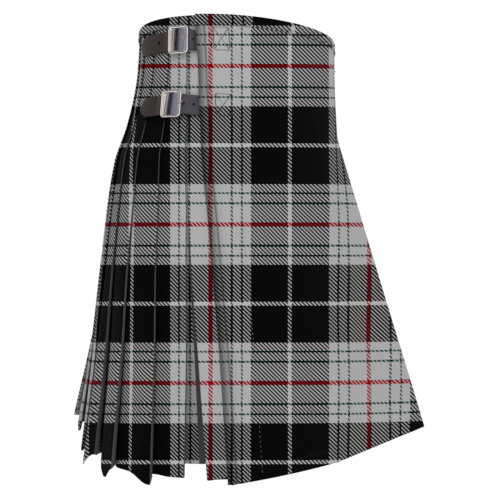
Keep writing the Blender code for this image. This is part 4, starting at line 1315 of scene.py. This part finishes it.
def shaped_frame(way):
    """The frame alone: a rounded block with a window through it, rounded edges and bowed side bars."""
    made = block_of((FRAME_ALONG, FRAME_TALL, FRAME_WALL))
    bpy.ops.mesh.select_mode(type="EDGE")
    select_where(made, "edges", is_upright)
    bpy.ops.mesh.bevel(offset=FRAME_ROUND * MM, segments=8, affect="EDGES")
    bpy.ops.mesh.select_mode(type="FACE")
    select_where(made, "faces", is_flat)
    bpy.ops.mesh.inset(thickness=BAR_END * MM, use_even_offset=True)
    window, inset = FRAME_ALONG - BAR_TIP - BAR_EDGE, FRAME_ALONG - 2 * BAR_END
    bpy.ops.transform.resize(value=(window / inset, 1.0, 1.0), center_override=(0.0, 0.0, 0.0))
    bpy.ops.transform.translate(value=(way * (BAR_EDGE - BAR_TIP) / 2 * MM, 0.0, 0.0))
    bpy.ops.mesh.bridge_edge_loops()
    bpy.ops.mesh.select_mode(type="EDGE")
    select_where(made, "edges", is_sharp)
    bpy.ops.mesh.bevel(offset=BAR_ROUND * MM, segments=4, affect="EDGES", clamp_overlap=True)
    bpy.ops.mesh.select_mode(type="VERT")
    for side, bar in ((way, BAR_TIP), (-way, BAR_EDGE)):
        inner = FRAME_ALONG / 2 - bar
        select_where(made, "verts", lambda v: v.co.x * side > (inner - 0.05) * MM)
        centre = (side * inner * MM, 0.0, FRAME_WALL / 2 * MM)
        bpy.ops.transform.rotate(value=-side * BAR_LEANS, orient_axis="Y", center_override=centre)
    turned_outwards()
    return made


def buckle_frame(fastening, lie):
    frame_piece = shaped_frame(lie.way)
    settled(frame_piece, lie.matrix(lie.heel, FRAME_OVER))
    bpy.ops.mesh.primitive_cylinder_add(vertices=24, radius=HEEL_RADIUS * MM, depth=2 * LEGS_AT * MM)
    bar = bpy.context.object
    settled(bar, lie.matrix(lie.heel, HEEL) @ Matrix.Rotation(math.pi / 2, 4, "X"))
    parts = [frame_piece, bar]
    leg_tall = FRAME_OVER + LEG_OVERLAP - (HEEL - HEEL_RADIUS - LEG_BELOW)
    for side in (-1, 1):
        leg = block_of((*LEGS, leg_tall))
        bpy.ops.mesh.bevel(offset=LEG_ROUND * MM, segments=3, affect="EDGES")
        bpy.ops.object.mode_set(mode="OBJECT")
        up = Matrix.Translation((0.0, side * LEGS_AT * MM, 0.0))
        parts.append(settled(leg, lie.matrix(lie.heel, FRAME_OVER + LEG_OVERLAP - leg_tall / 2) @ up))
    bpy.ops.object.select_all(action="DESELECT")
    for part in parts:
        part.select_set(True)
    bpy.context.view_layer.objects.active = frame_piece
    bpy.ops.object.join()
    frame_piece.name = "buckle_frame_" + fastening.name
    frame_piece.data.materials.clear()
    frame_piece.data.materials.append(cast_nickel)
    bpy.ops.object.shade_smooth_by_angle(angle=math.radians(40.0))
    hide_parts("buckle_" + fastening.name)
    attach(frame_piece, "root")
    print(frame_piece.name, "faces", len(frame_piece.data.polygons))


# %% Plates
PLATE_WIDE, PLATE_DOME, PLATE_TALL = 19.2, 1.4, 29.4
PLATE_CENTRE = 1.3  # from the heel bar towards the tip
PLATE_BEHIND = 0.1  # how far its flat side lies in front of the frame's back
PLATE_ROUND = 0.35  # radius of its edges


def buckle_plate(fastening, lie):
    """A slice off the side of a round bar: flat behind and domed in front."""
    radius = (PLATE_WIDE**2 / 4 + PLATE_DOME**2) / (2 * PLATE_DOME)
    bpy.ops.object.select_all(action="DESELECT")
    bpy.ops.mesh.primitive_cylinder_add(
        vertices=160, radius=radius * MM, depth=PLATE_TALL * MM, rotation=(math.pi / 2, 0.0, 0.0)
    )
    plate = bpy.context.object
    bpy.ops.object.transform_apply(location=False, rotation=True, scale=True)
    bpy.ops.object.mode_set(mode="EDIT")
    bpy.ops.mesh.select_all(action="SELECT")
    cut_at = (0.0, 0.0, (radius - PLATE_DOME) * MM)
    bpy.ops.mesh.bisect(plane_co=cut_at, plane_no=(0.0, 0.0, 1.0), use_fill=True, clear_inner=True)
    turned_outwards()
    rounded(plate, PLATE_ROUND, 3, math.radians(35.0))
    back = FRAME_OVER - FRAME_WALL / 2 + PLATE_BEHIND
    down_to = Matrix.Translation((lie.way * PLATE_CENTRE * MM, 0.0, (back - radius + PLATE_DOME) * MM))
    settled(plate, lie.matrix(lie.heel) @ down_to)
    plate.name = "buckle_plate_" + fastening.name
    plate.data.materials.append(nickel)
    bpy.ops.object.shade_smooth_by_angle(angle=math.radians(30.0))
    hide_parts("plate_" + fastening.name)
    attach(plate, "root")
    print(plate.name, "faces", len(plate.data.polygons))


# %% Every fastening
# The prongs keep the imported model's own shape, and only get a better finish.
for fastening in FASTENINGS:
    lie_here = Lie(fastening)
    strap(fastening, lie_here)
    chape(fastening, lie_here)
    buckle_frame(fastening, lie_here)
    buckle_plate(fastening, lie_here)
    for slot in bpy.data.objects["prong_" + fastening.name].material_slots:
        slot.material = darker_nickel
print("fastenings:", len(FASTENINGS))

# %% [markdown]
# ## Stitching
# Every row of stitches is laid on the finished cloth: round the waistband, down the turned free edge, round
# the hems, and in a crossed box where each strap is sewn behind the apron. A bump in the cloth's material
# could draw them, but they stand out against the light and belong in the mesh. A stitch is a short round
# length of thread with its ends drawn into the cloth, and all of a row is one mesh.

# %% Thread
def sewing_thread(name, code):
    """Spun sewing thread: matt, with the small bumps of its twisted plies."""
    made, tree, shader = new_material(name, Base_Color=linear(code), Roughness=0.7, Specular_IOR_Level=0.2)
    place = add_node(tree, "TexCoord", out="Object")
    # The twist of the plies shows as bumps about 0.4 mm apart.
    ply = add_node(tree, "TexNoise", Vector=place, Scale=2400.0, Detail=1.0)
    twist = add_node(tree, "Bump", Strength=0.4, Distance=0.0002, Height=ply)
    set_sockets(tree, shader, {"Normal": twist})
    return made


thread_dark = sewing_thread("sewing_thread_charcoal", "231e20")
thread_grey = sewing_thread("sewing_thread_grey", "6e6e70")
print("threads:", thread_dark.name, thread_grey.name)

# %% One stitch, and a row of them
STITCH_SIDES = 6
# shares along a stitch, and shares of its thickness
STITCH = ((-0.5, 0.25), (-0.42, 0.8), (-0.2, 1.0), (0.2, 1.0), (0.42, 0.8), (0.5, 0.25))


def stitch(points, faces, a, b, radius):
    """Adds one stitch from a to b: a round length of thread, thinner at its ends."""
    way = (b - a) / np.linalg.norm(b - a)
    side = np.cross(way, (0.3, 0.2, 0.93) if abs(way[2]) < 0.8 else (1.0, 0.2, 0.1))
    side /= np.linalg.norm(side)
    other = np.cross(way, side)
    first = len(points)
    for share, wide in STITCH:
        centre = (a + b) / 2 + (b - a) * share
        for turn in np.linspace(0.0, 2 * math.pi, STITCH_SIDES, endpoint=False):
            points.append(centre + radius * wide * (side * math.cos(turn) + other * math.sin(turn)))
    for at in range(first, len(points) - STITCH_SIDES, STITCH_SIDES):
        for j in range(STITCH_SIDES):
            k = (j + 1) % STITCH_SIDES
            faces.append((at + j, at + STITCH_SIDES + j, at + STITCH_SIDES + k, at + k))
    faces.append(tuple(range(first, first + STITCH_SIDES)))
    faces.append(tuple(reversed(range(len(points) - STITCH_SIDES, len(points)))))


def sewn(name, lines, long, gap, radius, thread):
    """Stitches along lines of points in millimetres, as one object."""
    points, faces, count = [], [], 0
    for line in lines:
        line = np.asarray(line, float)
        runs = np.concatenate([[0.0], np.cumsum(np.linalg.norm(np.diff(line, axis=0), axis=1))])
        for begin in np.arange(0.3, runs[-1] - long, long + gap):
            ends = np.stack([np.interp((begin, begin + long), runs, line[:, k]) for k in range(3)], axis=1)
            stitch(points, faces, *ends, radius)
            count += 1
    mesh = bpy.data.meshes.new(name)
    mesh.from_pydata((np.array(points) + np.array([0.0, 0.0, ORIGIN_DOWN])) * MM, [], faces)
    row = placed(name, mesh, thread)
    bpy.ops.object.mode_set(mode="EDIT")
    turned_outwards()
    bpy.ops.object.shade_smooth_by_angle(angle=math.radians(60.0))
    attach(row, "root")
    print(name, "stitches", count)


# %% Rows of stitches
THREAD_STANDS = 0.1  # how far the middle of a stitch stands off the cloth
ON_SHEET = SHEET_WALL / 2 + THREAD_STANDS
BAND_STITCHED = 2.6  # height of the band's stitches above its lower edge
FRINGE_LINE = 44.0  # distance from the free edge of the line where a fringe would be held
PLEAT_HEM_UP = 14.0  # height of the stitches round the pleats' hem


def down_apron(along, begin, end):
    """A line on the over apron this far from its free edge, between two distances down."""
    lines = [line for line in APRON_LINES if begin <= line.ring.down <= end]
    return np.array([line.at(along, apron_relief(along, line.ring.down) + ON_SHEET)[0] for line in lines])


def across_apron(down, begin):
    """A line on the over apron this far down, from this far in from its free edge to its left fold."""
    line = ApronLine(Ring(down))
    along = np.arange(begin, line.width - 2.0, 2.0)
    return line.at(along, apron_relief(along, down) + ON_SHEET)


def box_lines(down, begin, end, half):
    """A box with crossed diagonals, where a strap is sewn behind the apron."""

    def point(along, up):
        ring = Ring(down - up)
        return ApronLine(ring).at(along, apron_relief(along, ring.down) + ON_SHEET)[0]

    corners = ((begin, half), (end, half), (end, -half), (begin, -half))
    sides = ((0, 1), (1, 2), (2, 3), (3, 0), (0, 2), (1, 3))
    return [[point(*corners[a]), point(*corners[b])] for a, b in sides]


band_angles = np.linspace(EDGES[0][FREE_EDGE] + 1.0, UNDER_END + 356.0, 500)
band_out, _ = band_path(band_angles)
band_turn = wrapped(band_angles)
band_ring = Ring(BAND_HEIGHT - BAND_STITCHED)
band_plan = plan_of(band_ring.axes, band_turn, band_out + BAND_WALL / 2 + THREAD_STANDS)
band_line = np.column_stack([band_plan, np.interp(band_turn, RING_ANGLES, band_ring.heights)])
# name, lines, length of a stitch, gap between two, radius of the thread
sewn("waistband_stitches", [band_line], 2.8, 1.2, 0.28, thread_dark)
sewn("free_edge_stitches", [down_apron(EDGE_TURNED - 1.0, 14.0, LENGTH - 4.0)], 2.8, 1.4, 0.26, thread_dark)
sewn("fringe_line_stitches", [down_apron(FRINGE_LINE, 225.0, LENGTH - 4.0)], 2.6, 3.6, 0.24, thread_grey)
sewn("apron_hem_stitches", [across_apron(LENGTH - HEM_TURNED, 16.0)], 3.0, 2.6, 0.28, thread_dark)
boxes = box_lines(31.0, 21.5, 41.5, 15.0) + box_lines(119.0, 20.5, 40.5, 14.5)
sewn("strap_box_stitches", boxes, 2.6, 0.15, 0.48, thread_dark)


# %% Round the pleats' hem
def pleat_hems(down):
    """Lines this far down, near the hem, on what each pleat shows."""
    ring = Ring(down)
    lines = []
    for first, last in (RIGHT_LENGTH, LEFT_LENGTH):
        for place, out, dip, show in pleat_line(ring, first, last)[4]:
            seen = (show > 0.03) & (show < 0.99)
            line = ring.at(place[seen], out[seen] + ON_SHEET)
            line[:, 2] -= dip[seen] * low_down(down)
            lines.append(line)
    return lines


sewn("pleat_hem_stitches", pleat_hems(LENGTH - PLEAT_HEM_UP), 2.6, 3.0, 0.25, thread_dark)

# %% [markdown]
# ## Floor and light
# A plain white floor and an even white surround. A soft key light stands to the left of the camera, and a
# weaker, broader one to its right. Neither shows in reflections. Polished metal is only as good as what it
# mirrors, so the surround also has a band of greys at eye level, a wall with a dark doorway, that only
# glossy rays see.

# %% Floor
FLOOR_DOWN = -0.86  # metres: well below the hem, as under a garment on a hanger
bpy.ops.object.select_all(action="DESELECT")
bpy.ops.mesh.primitive_plane_add(size=120.0, location=(0.0, 0.0, FLOOR_DOWN))
floor = bpy.context.object
floor.name = "floor"
bpy.ops.object.transform_apply(location=True, rotation=True, scale=True)
# Flat white paint, as on a studio floor: no gloss at all, and no texture of its own.
white = {"Base_Color": linear("ffffff"), "Roughness": 0.95, "Specular_IOR_Level": 0.0}
floor.data.materials.append(new_material("matt_white_paint", **white)[0])
print("floor", round(-FLOOR_DOWN - (LENGTH - ORIGIN_DOWN) * MM, 2), "m below the hem")

# %% The surround
FLAGS = (
    # share of a turn round the kilt, tone
    (0.449, "f4f2f2"),
    (0.458, "4b4650"),
    (0.464, "6a6670"),
    (0.474, "a8a5ac"),
    (0.482, "b4b0b6"),
    (0.496, "5e5962"),
    (0.513, "2f2a30"),
    (0.528, "241e23"),
    (0.543, "37323b"),
    (0.558, "62606b"),
    (0.572, "767a8e"),
    (0.606, "868ba2"),
    (0.628, "807e8b"),
    (0.640, "504b52"),
    (0.653, "f6f4f2"),
)
# sines of the elevations between which the wall fades in at its foot and out at its top
WALL_FOOT, WALL_TOP = (-0.3, -0.15), (0.9, 0.8)

world = bpy.data.worlds.new("studio")
bpy.context.scene.world = world
world.use_nodes = True
sky = world.node_tree
background = sky.nodes["Background"]
heading = add_node(sky, "SeparateXYZ", add_node(sky, "TexCoord", out="Generated")).node
above = heading.outputs["Z"]
around = add_node(sky, "Math", heading.outputs["Y"], heading.outputs["X"], operation="ARCTAN2")
turns = add_node(sky, "Math", around, 2 * math.pi, operation="DIVIDE")
wall = add_node(sky, "ValToRGB", add_node(sky, "Math", turns, operation="FRACT"))
tones = wall.node.color_ramp
tones.interpolation = "EASE"
tones.elements.remove(tones.elements[1])
for place, code in FLAGS:
    tones.elements.new(place).color = linear(code)
tones.elements[0].color = linear("f4f4f4")
foot = add_node(sky, "MapRange", above, *WALL_FOOT, **WITH_SOFT_ENDS)
top = add_node(sky, "MapRange", above, *WALL_TOP, **WITH_SOFT_ENDS)
on_wall = add_node(sky, "Math", foot, top, operation="MULTIPLY")
glossy = add_node(sky, "LightPath", out="Is Glossy Ray")
only_gloss = add_node(sky, "Math", glossy, on_wall, operation="MULTIPLY")
room = add_node(sky, "Mix", only_gloss, _6=linear("ffffff"), _7=wall, **OF_COLOURS)
set_sockets(sky, background, {"Strength": 1.0, "Color": room})
print("tones in the surround:", len(tones.elements))


# %% Lights
KILT_MIDDLE = Vector((0.0, 0.0, -0.25))


def soft_light(name, aside, ahead, up, size, power):
    """An area light placed against the camera's right and ahead directions, aimed at the kilt's middle."""
    at = (CAMERA_RIGHT * aside + CAMERA_AHEAD * ahead) * MM + Vector((0.0, 0.0, up * MM))
    aim = KILT_MIDDLE - at
    bpy.ops.object.light_add(type="AREA", location=at, rotation=aim.to_track_quat("-Z", "Y").to_euler())
    lamp = bpy.context.object
    lamp.name = name
    lamp.data.size = size
    lamp.data.energy = power
    lamp.visible_glossy = False
    print(name, "light at", [round(v, 2) for v in lamp.location])


# name, millimetres aside, ahead and up, size in metres, power in watts
soft_light("key", -900.0, -1900.0, 900.0, 0.8, 10.5)
soft_light("fill", 1300.0, -1500.0, 500.0, 1.0, 7.0)
bpy.context.scene.view_settings.view_transform = "Standard"
